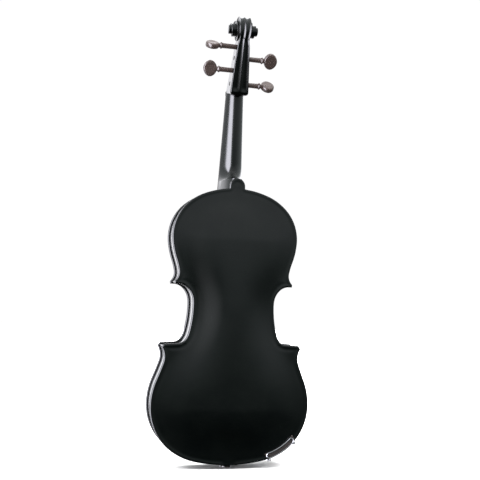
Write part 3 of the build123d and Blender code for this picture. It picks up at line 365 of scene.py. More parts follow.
def finish_piece(
    thing: bpy.types.Object,
    finish: "Finish",
    replaces: tuple[str, ...] = (),
    body: str = ROOT,
    crease: float = 38.0,
) -> bpy.types.Object:
    """Shade a piece, give it its finish and its body, and log it.

    Args:
        thing: The piece.
        finish: What it is made of.
        replaces: The CAD nodes that it stands for.
        body: The CAD body that it rides on.
        crease: Degrees past which an edge is drawn sharp.

    Returns:
        The same piece.
    """
    mesh = thing.data
    mesh.polygons.foreach_set("use_smooth", np.ones(len(mesh.polygons), bool))
    mesh.set_sharp_from_angle(angle=math.radians(crease))
    mesh.materials.clear()
    mesh.materials.append(finish.material())
    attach(thing, body)
    if replaces:
        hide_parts(*replaces)
    log.info("%s: %d faces on %s", thing.name, len(mesh.polygons), body)
    return thing


# ------------------------------------------------------------------ finishes


@dataclass(frozen=True)
class Finish:
    """What a surface is made of: its name, and the name of its slot in the record."""

    name: str
    slot: str

    def material(self) -> bpy.types.Material:
        """The Blender material, made the first time that it is asked for."""
        found = bpy.data.materials.get(self.name)
        if found:
            return found
        made = bpy.data.materials.new(self.name)
        made.use_nodes = True
        tree = made.node_tree
        shader = tree.nodes["Principled BSDF"]
        place = add_node(tree, "ShaderNodeTexCoord").outputs["Object"]
        self.paint(tree, shader, place)
        return made

    def paint(self, tree: bpy.types.NodeTree, shader: bpy.types.Node, place: Socket) -> None:
        """Wire the shader; each finish has its own way."""
        raise NotImplementedError


@dataclass(frozen=True)
class SprayedLacquer(Finish):
    """Black lacquer, sprayed and buffed: deep gloss, with a faint sag of the film and a haze of wiping."""

    colour: str = "040606"
    tint: str = "080b0a"
    roughness: float = 0.1
    film_wave: float = 9.0  # millimetres across a swell of the film
    haze: float = 38.0  # millimetres across a patch of wiping haze
    coat: float = 0.15

    def paint(self, tree: bpy.types.NodeTree, shader: bpy.types.Node, place: Socket) -> None:
        """The haze varies the gloss and, a little, the colour; the film's swell gives the bump."""
        patches = noise(tree, place, self.haze, 4.0, Roughness=0.55)
        swell = noise(tree, place, self.film_wave, 1.0)
        gloss = (self.roughness, self.roughness + 0.07)
        inputs = {
            "Base Color": ramp(tree, patches, (0.35, self.colour), (0.7, self.tint)),
            "Roughness": spread(tree, patches, (0.3, 0.75), gloss),
            "Normal": bump(tree, swell, 0.35, 0.00004),
            "IOR": 1.5,
            "Coat Weight": self.coat,
            "Coat Roughness": 0.04,
        }
        wire(tree, shader, inputs)


class GrainWay(Enum):
    """Which way the fibres of a piece of wood run, as the scale of their pattern along each axis."""

    ALONG_VIOLIN = (1.0, 1.0, 0.045)
    ALONG_PEG = (0.06, 1.0, 1.0)
    ACROSS_BRIDGE = (0.1, 1.0, 1.0)


@dataclass(frozen=True)
class PlanedWood(Finish):
    """Wood cut along its fibres: streaks of early and late growth, and short open pores."""

    dark: str = "1a1210"
    pale: str = "3a2620"
    roughness: float = 0.4
    fibre: float = 1.1  # millimetres, half the width of the broadest streaks
    pore: float = 0.35  # millimetres, half the width of a pore's cell, coarser than real so that it shows
    way: GrainWay = GrainWay.ALONG_VIOLIN
    coat: float = 0.0
    gloss: float = 0.5  # how much the bare surface reflects
    relief: float = 0.00003

    def paint(self, tree: bpy.types.NodeTree, shader: bpy.types.Node, place: Socket) -> None:
        """Noise drawn out along the fibres gives streaks for the colour, and pores for the gloss and bump."""
        drawn = stretched(tree, place, self.way.value)
        streaks = noise(tree, drawn, 2 * self.fibre, 5.0, Roughness=0.6, Distortion=0.3)
        pores = noise(tree, drawn, 2 * self.pore, 2.0)
        gloss = (self.roughness - 0.06, self.roughness + 0.1)
        inputs = {
            "Base Color": ramp(tree, streaks, (0.32, self.dark), (0.68, self.pale)),
            "Roughness": spread(tree, pores, (0.0, 1.0), gloss),
            "Normal": bump(tree, pores, 0.5, self.relief),
            "IOR": 1.5,
            "Specular IOR Level": self.gloss,
            "Coat Weight": self.coat,
            "Coat Roughness": 0.12,
        }
        wire(tree, shader, inputs)


@dataclass(frozen=True)
class PlatedMetal(Finish):
    """Polished nickel or chrome plate: a mirror with hairline wiping scratches and dull patches."""

    colour: str = "c9c9cc"
    roughness: float = 0.14
    scratch: float = 0.5  # millimetres, half the width of a hairline's cell, coarser than real
    dull: str = "9a9a9c"

    def paint(self, tree: bpy.types.NodeTree, shader: bpy.types.Node, place: Socket) -> None:
        """Fine noise drawn out from front to back varies the gloss, and greys the plate where it is dull."""
        hairs = noise(tree, stretched(tree, place, (1.0, 0.2, 1.0)), 2 * self.scratch, 3.0)
        gloss = (self.roughness - 0.05, self.roughness + 0.1)
        inputs = {
            "Base Color": ramp(tree, hairs, (0.3, self.colour), (0.8, self.dull)),
            "Roughness": spread(tree, hairs, (0.35, 0.7), gloss),
            "Metallic": 1.0,
        }
        wire(tree, shader, inputs)


@dataclass(frozen=True)
class WoundCore(Finish):
    """A string's flat winding: close turns round the core, with a groove between them, darkened with painted
    shade.
    """

    colour: str = "b9b9bd"
    # shade: the darker colour painted into the grooves between turns, painted shade rather than a darker
    # metal
    shade: str = "5a5a5e"
    roughness: float = 0.3
    turn: float = 0.9 * math.pi  # 2.83 millimetres from turn to turn, far coarser than a real winding

    def paint(self, tree: bpy.types.NodeTree, shader: bpy.types.Node, place: Socket) -> None:
        """Bands across the length give the turns, in height, and in colour, whose darker part is painted
        shade in the grooves between the turns.
        """
        waves = {"Vector": place, "Scale": math.tau / MM / self.turn / WAVE_RADIANS, "Distortion": 0.0}
        bands = add_node(tree, "ShaderNodeTexWave", waves, bands_direction="Z").outputs["Fac"]
        inputs = {
            "Base Color": ramp(tree, bands, (0.1, self.shade), (0.6, self.colour)),
            "Normal": bump(tree, bands, 0.6, 0.00005),
            "Metallic": 1.0,
            "Roughness": self.roughness,
        }
        wire(tree, shader, inputs)


@dataclass(frozen=True)
class MouldedPlastic(Finish):
    """Black moulded composite or nylon: an even, slightly pebbled skin."""

    colour: str = "101112"
    roughness: float = 0.3
    pebble: float = 0.8  # millimetres across a pebble
    patch: float = 50 / 3  # millimetres across a patch of gloss
    worn: str = "1a1b1c"

    def paint(self, tree: bpy.types.NodeTree, shader: bpy.types.Node, place: Socket) -> None:
        """Fine cells give the pebbled skin; broad noise varies the colour and the gloss."""
        cells = noise(tree, place, self.pebble, 2.0)
        broad = noise(tree, place, self.patch, 3.0)
        gloss = (self.roughness - 0.05, self.roughness + 0.12)
        inputs = {
            "Base Color": ramp(tree, broad, (0.3, self.colour), (0.8, self.worn)),
            "Roughness": spread(tree, broad, (0.0, 1.0), gloss),
            "Normal": bump(tree, cells, 0.3, 0.00003),
        }
        wire(tree, shader, inputs)


@dataclass(frozen=True)
class PressedCork(Finish):
    """Dark cork sheet: rounded brown grains, with darker gaps between them."""

    grain: float = 1.3  # millimetres across a grain
    middle: str = "241c17"
    gap: str = "100c0a"

    def paint(self, tree: bpy.types.NodeTree, shader: bpy.types.Node, place: Socket) -> None:
        """Cells give the grains: palest and highest in the middle, dark and low where two meet."""
        cells = {"Vector": place, "Scale": 1 / MM / self.grain}
        grains = add_node(tree, "ShaderNodeTexVoronoi", cells).outputs["Distance"]
        inputs = {
            "Base Color": ramp(tree, grains, (0.2, self.middle), (0.8, self.gap)),
            "Normal": bump(tree, grains, 0.7, 0.0001, invert=True),
            "Roughness": 0.85,
        }
        wire(tree, shader, inputs)


LACQUER = SprayedLacquer("Sprayed_black_lacquer", "black_lacquer")
NECK_LACQUER = SprayedLacquer("Rubbed_black_lacquer", "black_lacquer", roughness=0.16, haze=20.0)
SPRUCE = PlanedWood("Planed_spruce", "inner_wood", "a97f4c", "cfa873", 0.6, 1.4, way=GrainWay.ALONG_VIOLIN)
EBONY = PlanedWood("Oiled_ebony", "ebony", "0a0908", "161312", 0.5, 1.2, gloss=0.2)
ROSEWOOD = PlanedWood(
    "Polished_rosewood",
    "rosewood",
    "3e312e",
    "524440",
    0.36,
    3.0,
    1.2,
    GrainWay.ALONG_PEG,
    0.45,
    relief=0.000004,
)
BUTTON_WOOD = PlanedWood("Polished_dark_hardwood", "rosewood_end", "120b0a", "2a1a17", 0.25, 1.2, coat=0.5)
MAPLE = PlanedWood(
    "Bare_quartered_maple", "bridge_maple", "a5743f", "cda06a", 0.5, 0.9, 0.5, GrainWay.ACROSS_BRIDGE
)
WOUND_STEEL = WoundCore("Wound_steel", "string_steel")
PLAIN_STEEL = PlatedMetal("Drawn_steel", "string_steel", "b5b5b8", 0.2)
COMPOSITE = MouldedPlastic("Moulded_composite", "tailpiece_composite", roughness=0.22)
PLATE = PlatedMetal("Polished_nickel_plate", "chrome")
NYLON = MouldedPlastic("Black_nylon_cord", "nylon", "0c0c0d", 0.45, 0.6)
CORK = PressedCork("Dark_pressed_cork", "cork")


# ------------------------------------------------------------------ the body


def arc_chain(
    start: tuple[float, float],
    direction: tuple[float, float],
    ends: list[tuple[float, float]],
    spacing: float,
) -> Array:
    """Points along arcs through the ends, each arc starting along the end of the one before it.

    An arc from P along T to Q has its centre on the normal at P, at the distance of the
    chord squared over twice the chord's share along that normal.

    Args:
        start: Where the first arc starts.
        direction: Its direction there.
        ends: The end of each arc.
        spacing: Distance between points.

    Returns:
        The points, from start to the last end.
    """
    point, tangent = np.array(start, float), np.array(direction, float)
    runs = [point[None]]
    for end in np.asarray(ends, float):
        normal = np.array([-tangent[1], tangent[0]])
        chord = end - point
        radius = (chord @ chord) / (2 * (chord @ normal))
        sweep = 2 * math.atan2(chord @ normal, chord @ tangent)
        steps = max(2, math.ceil(abs(radius * sweep) / spacing))
        turn = np.linspace(0, sweep, steps + 1)[1:, None]
        centre = point + radius * normal
        runs.append(centre - radius * np.cos(turn) * normal + radius * np.sin(turn) * tangent)
        tangent = math.cos(sweep) * tangent + math.sin(sweep) * normal
        point = end
    return np.vstack(runs)


def moved_in(path: Array, inset: float) -> Array:
    """Move a path to its left by an inset, square to itself."""
    return path + inset * left_of(path)


def trimmed(first: Array, second: Array) -> tuple[Array, Array]:
    """Cut two paths off where they cross, the first at its end and the second at its start."""
    a, b = first[:-1, None], first[1:, None]
    c, d = second[None, :-1], second[None, 1:]
    r, s, q = b - a, d - c, c - a
    below = r[..., 0] * s[..., 1] - r[..., 1] * s[..., 0]
    below = np.where(np.abs(below) < 1e-12, 1e-12, below)
    t = (q[..., 0] * s[..., 1] - q[..., 1] * s[..., 0]) / below
    u = (q[..., 0] * r[..., 1] - q[..., 1] * r[..., 0]) / below
    hits = np.argwhere((t >= 0) & (t <= 1) & (u >= 0) & (u <= 1))
    if not len(hits):
        return first, second
    i, j = hits[-1]
    corner = (a[i, 0] + t[i, j] * r[i, 0])[None]
    return np.vstack([first[: i + 1], corner]), np.vstack([corner, second[j + 1 :]])


@dataclass
class Outline:
    """The body's outline, as half widths at heights above its bottom edge, in millimetres."""

    length: float = BODY_LENGTH
    lower: tuple[float, float] = (104.6, 73.6)
    waist: tuple[float, float] = (54.25, 203.0)
    upper: tuple[float, float] = (83.6, 286.1)
    lower_corner: tuple[float, float] = (92.4, 148.8)
    lower_inner: tuple[float, float] = (89.2, 153.0)
    upper_inner: tuple[float, float] = (78.3, 228.9)
    upper_corner: tuple[float, float] = (78.7, 232.7)
    spacing: float = 1.3

    def chains(self) -> tuple[Array, Array, Array]:
        """The lower bout, the waist and the upper bout of the treble side, upwards.

        Returns:
            Three paths of (half width, height).
        """
        low = arc_chain(
            (0, 0),
            (1, 0),
            [(45.8, 5.1), (79.0, 21.2), self.lower, (98.1, 107.8), (90.2, 128.5), self.lower_corner],
            self.spacing,
        )
        waist_down = [(58.9, 166.9), (63.0, 158.5), (71.4, 154.0), self.lower_inner]
        waist_up = [(54.55, 209.0), (61.65, 224.0), self.upper_inner]
        down = arc_chain(self.waist, (0, -1), waist_down, self.spacing / 2)
        up = arc_chain(self.waist, (0, 1), waist_up, self.spacing / 2)
        top = arc_chain(
            (0, self.length),
            (1, 0),
            [(42.6, 347.9), (66.2, 332.7), self.upper, (78.2, 261.8), (74.1, 247.5), self.upper_corner],
            self.spacing,
        )
        return low, np.vstack([down[::-1], up[1:]]), top[::-1]

    def half(self) -> Array:
        """The whole treble half of the outline, upwards, with points along the two corners' ends."""
        low, middle, top = self.chains()
        share = np.linspace(0, 1, 9)[1:-1, None]
        lower_end = low[-1] + share * (middle[0] - low[-1])
        upper_end = middle[-1] + share * (top[0] - middle[-1])
        return np.vstack([low, lower_end, middle, upper_end, top])

    def blend_width(self, height: Array) -> Array:
        """Half width that the arching follows: those of both bouts and the waist, joined by cosine waves."""
        stations = [self.lower[1], self.waist[1] - 5, self.upper[1]]
        widths = [self.lower[0], self.waist[0], self.upper[0]]
        k = np.clip(np.searchsorted(stations, height) - 1, 0, 1)
        low, high = np.take(stations, k), np.take(stations, k + 1)
        wave = (1 - np.cos(np.pi * np.clip((height - low) / (high - low), 0, 1))) / 2
        return np.take(widths, k) + (np.take(widths, k + 1) - np.take(widths, k)) * wave

    def arch_share(self, x: Array, height: Array) -> Array:
        """Share of the full arch: a cosine squared of the distance from the crown, lower to the ends."""
        past_top = 1 - (self.length - height) / (self.length - self.upper[1])
        past = np.maximum(1 - height / self.lower[1], past_top)
        radial = np.minimum(1, np.hypot(x / self.blend_width(height), np.maximum(past, 0)))
        along = (height - self.waist[1]) / (self.length / 2)
        return np.cos(np.pi / 2 * radial**1.15) ** 2 * (1 - 0.16 * along**2)


def edge_distance(x: Array, height: Array, edge: Array) -> Array:
    """Distance from points to a path, the least over the path's straight pieces.

    Args:
        x: Half widths, all zero or more.
        height: Heights of the same points.
        edge: The path.

    Returns:
        One distance for each point.
    """
    points = np.stack([x.ravel(), height.ravel()], -1)
    start, run = edge[:-1], np.diff(edge, axis=0)
    length = np.maximum((run**2).sum(1), 1e-12)
    found = []
    for block in np.array_split(points, max(1, len(points) // 4000)):
        away = block[:, None] - start
        share = np.clip((away * run).sum(-1) / length, 0, 1)
        found.append(np.sqrt(((away - share[..., None] * run) ** 2).sum(-1).min(1)))
    return np.concatenate(found).reshape(x.shape)


@dataclass
class CarvedPlate:
    """A plate carved from the solid: a rounded, slightly raised edge, a channel inside it, and the arch."""

    outline: Outline
    side: int
    crown: float
    tab_width: float = 0.0
    tab_reach: float = 0.0
    half_rib: float = HALF_RIB
    edge: float = 4.0
    wall: float = 2.8
    channel: float = 0.2
    bead: float = 0.08
    columns: int = 46
    inner_columns: int = 18

    def edge_path(self) -> Array:
        """The edge upwards on the treble side, with the tab over the neck's foot where there is one."""
        path = self.outline.half()
        path[:, 1] = np.maximum.accumulate(path[:, 1])
        if not self.tab_reach:
            return path
        radius, top = self.tab_width / 2, self.outline.length
        body = path[path[:, 0] > radius]
        turn = np.linspace(0, np.pi / 2, 24)[:, None]
        arc = np.hstack([radius * np.cos(turn), top + self.tab_reach - radius + radius * np.sin(turn)])
        rise = np.linspace(body[-1, 1], arc[0, 1], 8)[1:-1, None]
        return np.vstack([body, np.hstack([np.full_like(rise, radius), rise]), arc])

    def rows(self, path: Array) -> Array:
        """Heights of the mesh's rows: the edge's own points, and more where it runs level."""
        corner = [np.arange(143.0, 154.0, 0.4), np.arange(223.5, 234.5, 0.4)]
        heights = np.unique(np.round(np.concatenate([path[:, 1], *corner]), 3))
        return heights[np.concatenate([[True], np.diff(heights) > 0.02])]

    def half_grid(self, columns: int, path: Array, heights: Array) -> tuple[Array, Array]:
        """Places across each row, from the edge to the middle line, close together at the edge."""
        near = np.array([0, 0.12, 0.35, 0.7, 1.1, 1.55, 2.0, 2.6, 3.4, 4.4, 5.6, 7.0, 8.8, 11.0, 14.0])
        order = np.arange(len(path)) * 1e-9
        width = np.interp(heights, path[:, 1] + order, path[:, 0])
        width[0], width[-1] = path[0, 0], path[-1, 0]
        if columns < len(near):
            inset = width[:, None] * np.linspace(0, 1, columns) ** 1.5
        else:
            full_width = 40.0
            shrink = np.minimum(1, width / full_width)[:, None]
            rest = np.linspace(0, 1, columns - len(near) + 1)[1:]
            last = near[-1] * shrink
            inset = np.hstack([near * shrink, last + rest * (width[:, None] - last)])
        x = width[:, None] - inset
        return x, np.broadcast_to(heights[:, None], x.shape)

    def arch(self, x: Array, height: Array) -> Array:
        """Height of the full arch above the ribs."""
        return self.edge + (self.crown - self.edge) * self.outline.arch_share(x, height)

    def outer(self, x: Array, height: Array, away: Array) -> Array:
        """Height of the outer face above the ribs: arch, less the channel, rounded off at the edge."""
        channel_middle, channel_width = 6.0, 2.5
        bead_middle, bead_width = 2.4, 1.2
        face = self.arch(x, height) - self.channel * np.exp(-(((away - channel_middle) / channel_width) ** 2))
        face = face + self.bead * np.exp(-(((away - bead_middle) / bead_width) ** 2))
        half = self.edge / 2
        return half + (face - half) * quarter_round(np.minimum(away / half, 1))

    def inner(self, x: Array, height: Array, away: Array) -> Array:
        """Height of the inner face: flat on the ribs and linings, then hollowed to an even wall."""
        flat_to, hollow_from = 6.0, 11.0
        hollow = (self.arch(x, height) - self.wall) * smooth_step(away, flat_to, hollow_from)
        half = self.edge / 2
        round_off = quarter_round(np.minimum(away / half, 1))
        return half * (1 - round_off) + hollow * round_off

    def face(self, columns: int, lift: Callable[[Array, Array, Array], Array]) -> Shell:
        """One face of the plate from edge to edge.

        Args:
            columns: Points from the edge to the middle line.
            lift: The method that gives the face's height above the ribs.

        Returns:
            The open shell of that face.
        """
        path = self.edge_path()
        heights = self.rows(path)
        x, height = self.half_grid(columns, path, heights)
        away = edge_distance(x, height, path)
        away[:, 0] = 0
        y = self.side * (self.half_rib + lift(x, height, away))
        half = np.stack([x, y, height], -1)
        other = half[:, ::-1] * (-1, 1, 1)
        return grid_shell(np.concatenate([half, other[:, 1:]], axis=1))

    def build(self, name: str) -> bpy.types.Object:
        """The closed plate: the outer and the inner face share the edge's middle line."""
        outside = self.face(self.columns, self.outer)
        return make_object(name, outside + self.face(self.inner_columns, self.inner))


@dataclass
class SoundHoles:
    """The two sound holes: a leaning S that swells in the middle, between two round eyes."""

    height: float = 161.0
    path: tuple[tuple[float, float], ...] = (
        (23, 30),
        (27, 36.5),
        (31.5, 31),
        (36.5, 0),
        (41, -30),
        (45.5, -37),
        (51, -31),
    )
    eyes: tuple[float, float] = (3.2, 4.3)

    def middle_line(self, count: int) -> Array:
        """A smooth line through the path's points: cubic pieces that keep their slope at each point."""
        knots = np.array(self.path, float)
        slope = np.gradient(knots, axis=0)
        place = np.linspace(0, len(knots) - 1, count)
        k = np.minimum(place.astype(int), len(knots) - 2)
        t = (place - k)[:, None]
        p, q, m, n = knots[k], knots[k + 1], slope[k], slope[k + 1]
        ends = (2 * t**3 - 3 * t**2 + 1) * p + (t**3 - 2 * t**2 + t) * m
        return ends + (3 * t**2 - 2 * t**3) * q + (t**3 - t**2) * n

    def cutters(self, side: int) -> list[bpy.types.Object]:
        """Solids that cut one sound hole: the S, its two eyes, and the two nicks."""
        line = self.middle_line(60)
        normal = left_of(line)
        half = (0.8 + 2.1 * np.sin(np.linspace(0, np.pi, 60)) ** 2)[:, None]
        loops = [np.vstack([line + half * normal, (line - half * normal)[::-1]])]
        turn = np.linspace(0, 2 * np.pi, 40, endpoint=False)[:, None]
        for centre, radius in zip((line[0], line[-1]), self.eyes):
            loops.append(centre + radius * np.hstack([np.cos(turn), np.sin(turn)]))
        for reach in (3.9, -3.9):
            loops.append(np.array([(36.5, -0.9), (36.5 + reach, -0.4), (36.5 + reach, 0.4), (36.5, 0.9)]))
        inside, depth = -14.0, 30.0
        tools = []
        for loop in loops:
            flat = np.stack([side * loop[:, 0], np.full(len(loop), inside), loop[:, 1] + self.height], -1)
            tools.append(make_object("tool", tube_shell(np.stack([flat, flat - (0, depth, 0)]))))
        return tools


@dataclass
class Body:
    """The hollow body: two carved plates on six bent ribs."""

    outline: Outline = field(default_factory=Outline)
    rib_height: float = 2 * HALF_RIB
    rib_thickness: float = 1.1
    back_crown: float = 15.0
    belly_crown: float = 16.0
    tab_width: float = 21.0
    tab_reach: float = 13.5

    def rib(self, name: str, path: Array, side: int) -> None:
        """One bent rib: a thin upright strip that follows its stretch of the outline."""
        inner = moved_in(path, self.rib_thickness)
        lift = np.linspace(-self.rib_height / 2, self.rib_height / 2, 5)
        outer_side = np.stack(np.broadcast_arrays(path[:, None, 0], lift, path[:, None, 1]), -1)
        inner_side = np.stack(np.broadcast_arrays(inner[:, None, 0], lift[::-1], inner[:, None, 1]), -1)
        loop = np.concatenate([outer_side, inner_side], axis=1) * (side, 1, 1)
        hand = "treble" if side > 0 else "bass"
        finish_piece(make_object(f"{name}_bent_{hand}", tube_shell(loop)), LACQUER, (f"{name}_{hand}",))

    def ribs(self) -> None:
        """Three ribs a side, moved in from the edge and mitred at the corners."""
        low, middle, top = (moved_in(chain, OVERHANG) for chain in self.outline.chains())
        low[0, 0], top[-1, 0] = 0, 0
        low, middle = trimmed(low, middle)
        middle, top = trimmed(middle, top)
        for side in (1, -1):
            self.rib("rib_lower", low, side)
            self.rib("rib_middle", middle, side)
            self.rib("rib_upper", top, side)

    def saddle_notch(self) -> bpy.types.Object:
        """The solid that cuts the saddle's seat out of the belly's edge."""
        low, high = measured("saddle")
        reach = 10.0  # half of the notch's height, which runs out past the edge
        inside, depth = 0.1 - HALF_RIB, 20.0
        corners = np.array([(-1, -1), (1, -1), (1, 1), (-1, 1)])
        x, z = corners[:, 0] * (high[0] - low[0]) / 2, high[2] + (corners[:, 1] - 1) * reach
        flat = np.stack([x, np.full(4, inside), z], -1)
        return make_object("tool", tube_shell(np.stack([flat, flat - (0, depth, 0)])))

    def build(self) -> None:
        """Carve both plates, cut the sound holes and bend the ribs."""
        back = CarvedPlate(self.outline, 1, self.back_crown, self.tab_width, self.tab_reach)
        finish_piece(back.build("back_carved"), LACQUER, ("back_plate",))
        belly = CarvedPlate(self.outline, -1, self.belly_crown).build("belly_carved")
        holes = SoundHoles()
        for side in (1, -1):
            cut(belly, *holes.cutters(side))
        cut(belly, self.saddle_notch())
        finish_piece(belly, LACQUER, ("belly_plate",))
        self.ribs()


# ------------------------------------------------------------------ neck and head


def seat(z: Array) -> Array:
    """Where the fingerboard sits on the neck, front to back, at a height."""
    return SEAT_FOOT + SEAT_SLOPE * (z - BODY_LENGTH)


def board_width(z: Array) -> Array:
    """Width of the fingerboard, and of the neck under it, at a height."""
    return BOARD_NUT_WIDTH + BOARD_WIDENING * (NUT_Z - z) / BOARD_LENGTH


def fluted(across: Array) -> Array:
    """Depth share of the two flutes beside a middle ridge, across a band from -1 to 1."""
    softness = 0.004
    return np.sqrt(np.sin(np.pi * across) ** 2 + softness) - math.sqrt(softness)


@dataclass
class Neck:
    """The neck and head in one: heel, rounded handle, fluted pegbox and carved volute."""

    tab: float = 13.5
    heel_rise: float = 34.0
    slim: tuple[float, float] = (14.5, 12.0)  # depth above the heel and near the nut
    slimming: float = 86.0  # length over which the depth goes from the one to the other
    handle_top: float = 491.0
    back_width: float = 20.0  # of the heel's back
    mortise: float = 9.6  # how far the foot goes down into the body
    lean: float = math.radians(23.0)
    foot: tuple[float, float] = (-12.46, 491.5)
    front_length: float = 67.0
    depths: tuple[float, float] = (27.0, 17.5)
    widths: tuple[float, float] = (24.0, 15.0)
    centre: tuple[float, float] = (19.15, 565.97)
    radius: float = 19.0
    shrink: float = 2 / 3
    eye: float = 5.5
    eye_reach: float = 20.0  # from the middle plane to the tip of the eye
    flute: float = 1.6
    chin_start: float = 4.5  # where the pegbox's back starts to round down to its chin
    chin_round: float = 7.5
    spine_end: float = 79.0
    throat_z: float = 553.17  # where the pegbox is down to its throat's width
    under_slope: float = -0.3057  # front edge of the stretch below the nut's seat
    neck_of_head: float = 13.0  # least width before it is drawn in under the scroll
    wall_nut: float = 5.2
    wall_throat: float = 4.0
    floor: float = 5.5
    scroll_start: float = math.radians(-10)

    def handle(self) -> Shell:
        """Heel and handle: sections flat in front and rounded behind, squarer and deeper at the heel."""
        heel = self.heel_rise - self.tab
        curve = self.tab + heel * (1 - np.cos(np.linspace(0, np.pi / 2, 26)))
        rise = np.concatenate([[-self.mortise, 0.0, self.tab], curve[1:]])
        straight = np.linspace(BODY_LENGTH + self.heel_rise, self.handle_top, 30)
        z = np.concatenate([BODY_LENGTH + rise, straight[1:]])
        share = np.clip((z - BODY_LENGTH - self.tab) / heel, 0, 1)
        full = HALF_RIB - seat(z)
        way_up = np.clip((z - BODY_LENGTH - self.heel_rise) / self.slimming, 0, 1)
        slim = self.slim[0] - (self.slim[0] - self.slim[1]) * way_up
        depth = full - (full - slim) * quarter_round(share)
        back = self.back_width - 1.5 * share
        fullness = 3.2 - 1.1 * share  # power of the rounding: 2 is an ellipse, and more is squarer
        width = board_width(z)
        turn = np.linspace(0, np.pi, 41)
        sine, cosine = np.sin(turn)[None], np.cos(turn)[None]
        power = (2 / fullness)[:, None]
        reach = sine**power
        half = width[:, None] / 2 + (back - width)[:, None] / 2 * reach
        x = half * np.sign(cosine) * np.abs(cosine) ** power
        y = seat(z)[:, None] + depth[:, None] * reach
        front = np.linspace(-1, 1, 9)[1:-1] * width[:, None] / 2
        x = np.concatenate([x, front], axis=1)
        y = np.concatenate([y, np.broadcast_to(seat(z)[:, None], front.shape)], axis=1)
        return tube_shell(np.stack([x, y, np.broadcast_to(z[:, None], x.shape)], -1))

    def place(self, along: Array, across: Array) -> tuple[Array, Array]:
        """Front-to-back place and height of a point given along and across the pegbox."""
        sine, cosine = math.sin(self.lean), math.cos(self.lean)
        return self.foot[0] + along * sine + across * cosine, self.foot[1] + along * cosine - across * sine

    def spine(self, along: Array) -> Array:
        """The pegbox's back edge across the lean: chin, straight spine, then a hollow up to the scroll."""
        straight = self.depths[0] + (self.depths[1] - self.depths[0]) * along / self.front_length
        drop = np.clip((self.chin_start - along) / self.chin_round, 0, 1)
        inside = self.depths[0] - self.slim[0]
        chin = inside + (straight - inside) * np.sqrt(1 - drop**2)
        scroll_radius, scroll_along, blend = 19.4, 80.9, 1.2
        turn = np.sqrt(np.clip(scroll_radius**2 - (scroll_along - along) ** 2, 0, None))
        return blend * np.log(np.exp(chin / blend) + np.exp((turn - 0.6) / blend))

    def pegbox(self) -> Shell:
        """The pegbox: sections square to its front edge, with two flutes and a ridge on the back."""
        turn = np.linspace(np.pi / 2, 0, 22)
        chin = self.chin_start - self.chin_round * np.sin(turn)
        along = np.concatenate([chin, np.linspace(self.chin_start, self.spine_end, 60)[1:]])
        back = self.spine(along)
        front = np.where(along < 0, self.under_slope * along, 0)
        across_share = np.linspace(-1, 1, 49)
        depth = self.flute * smooth_step(along, 0, 10)[:, None]
        edge_drop = 0.9 * np.clip(np.abs(across_share) - 0.93, 0, None) / 0.07
        across = back[:, None] - depth * fluted(across_share) - edge_drop
        _, middle_z = self.place(along, back)
        rise = (middle_z - NUT_Z) / (self.throat_z - NUT_Z)
        width = self.widths[0] + (self.widths[1] - self.widths[0]) * rise
        width = np.clip(width, self.neck_of_head, None) - 1.7 * smooth_step(along, 62, 70)
        drop = np.clip((self.chin_start - along) / self.chin_round, 0, 1)
        chin_narrow = 0.3 + 0.7 * (1 - drop**2.6) ** 0.4
        x_back = across_share * (width * chin_narrow)[:, None] / 2
        sides = np.linspace(0, 1, 8)[1:]
        side_x = np.broadcast_to((width / 2)[:, None], (len(along), 7)) * (
            chin_narrow[:, None] + (1 - chin_narrow[:, None]) * sides
        )
        side_c = across[:, -1:] + (front[:, None] - across[:, -1:]) * sides
        x = np.concatenate([x_back, side_x, -side_x[:, ::-1]], axis=1)
        c = np.concatenate([across, side_c, side_c[:, ::-1]], axis=1)
        y, z = self.place(along[:, None], c)
        return tube_shell(np.stack([x, y, z], -1))

    def cavity(self) -> Shell:
        """The room for the pegs: a tapered box, open in front."""
        along = np.array([1.5, 66.0])
        narrowing = (self.depths[0] - self.depths[1]) * along / self.front_length
        back = self.depths[0] - narrowing - self.floor
        walls = np.array([self.wall_nut, self.wall_throat])
        half = (np.array(self.widths) - 2 * walls) / 2
        open_front = np.full(2, -9.0)
        loop_x = np.stack([-half, half, half, -half], 1)
        loop_c = np.stack([back, back, open_front, open_front], 1)
        y, z = self.place(along[:, None], loop_c)
        return tube_shell(np.stack([loop_x, y, z], -1))

    def half_width(self, turns: Array) -> Array:
        """Half width of the volute's band after a number of turns: each turn stands further out."""
        return np.interp(
            turns,
            [-0.14, 0.0, 0.4, 0.72, 1.0, 1.4, 1.9, 2.5, 3.06],
            [6.0, 7.25, 7.0, 7.7, 9.6, 12.4, 15.4, 18.0, 19.4],
        )

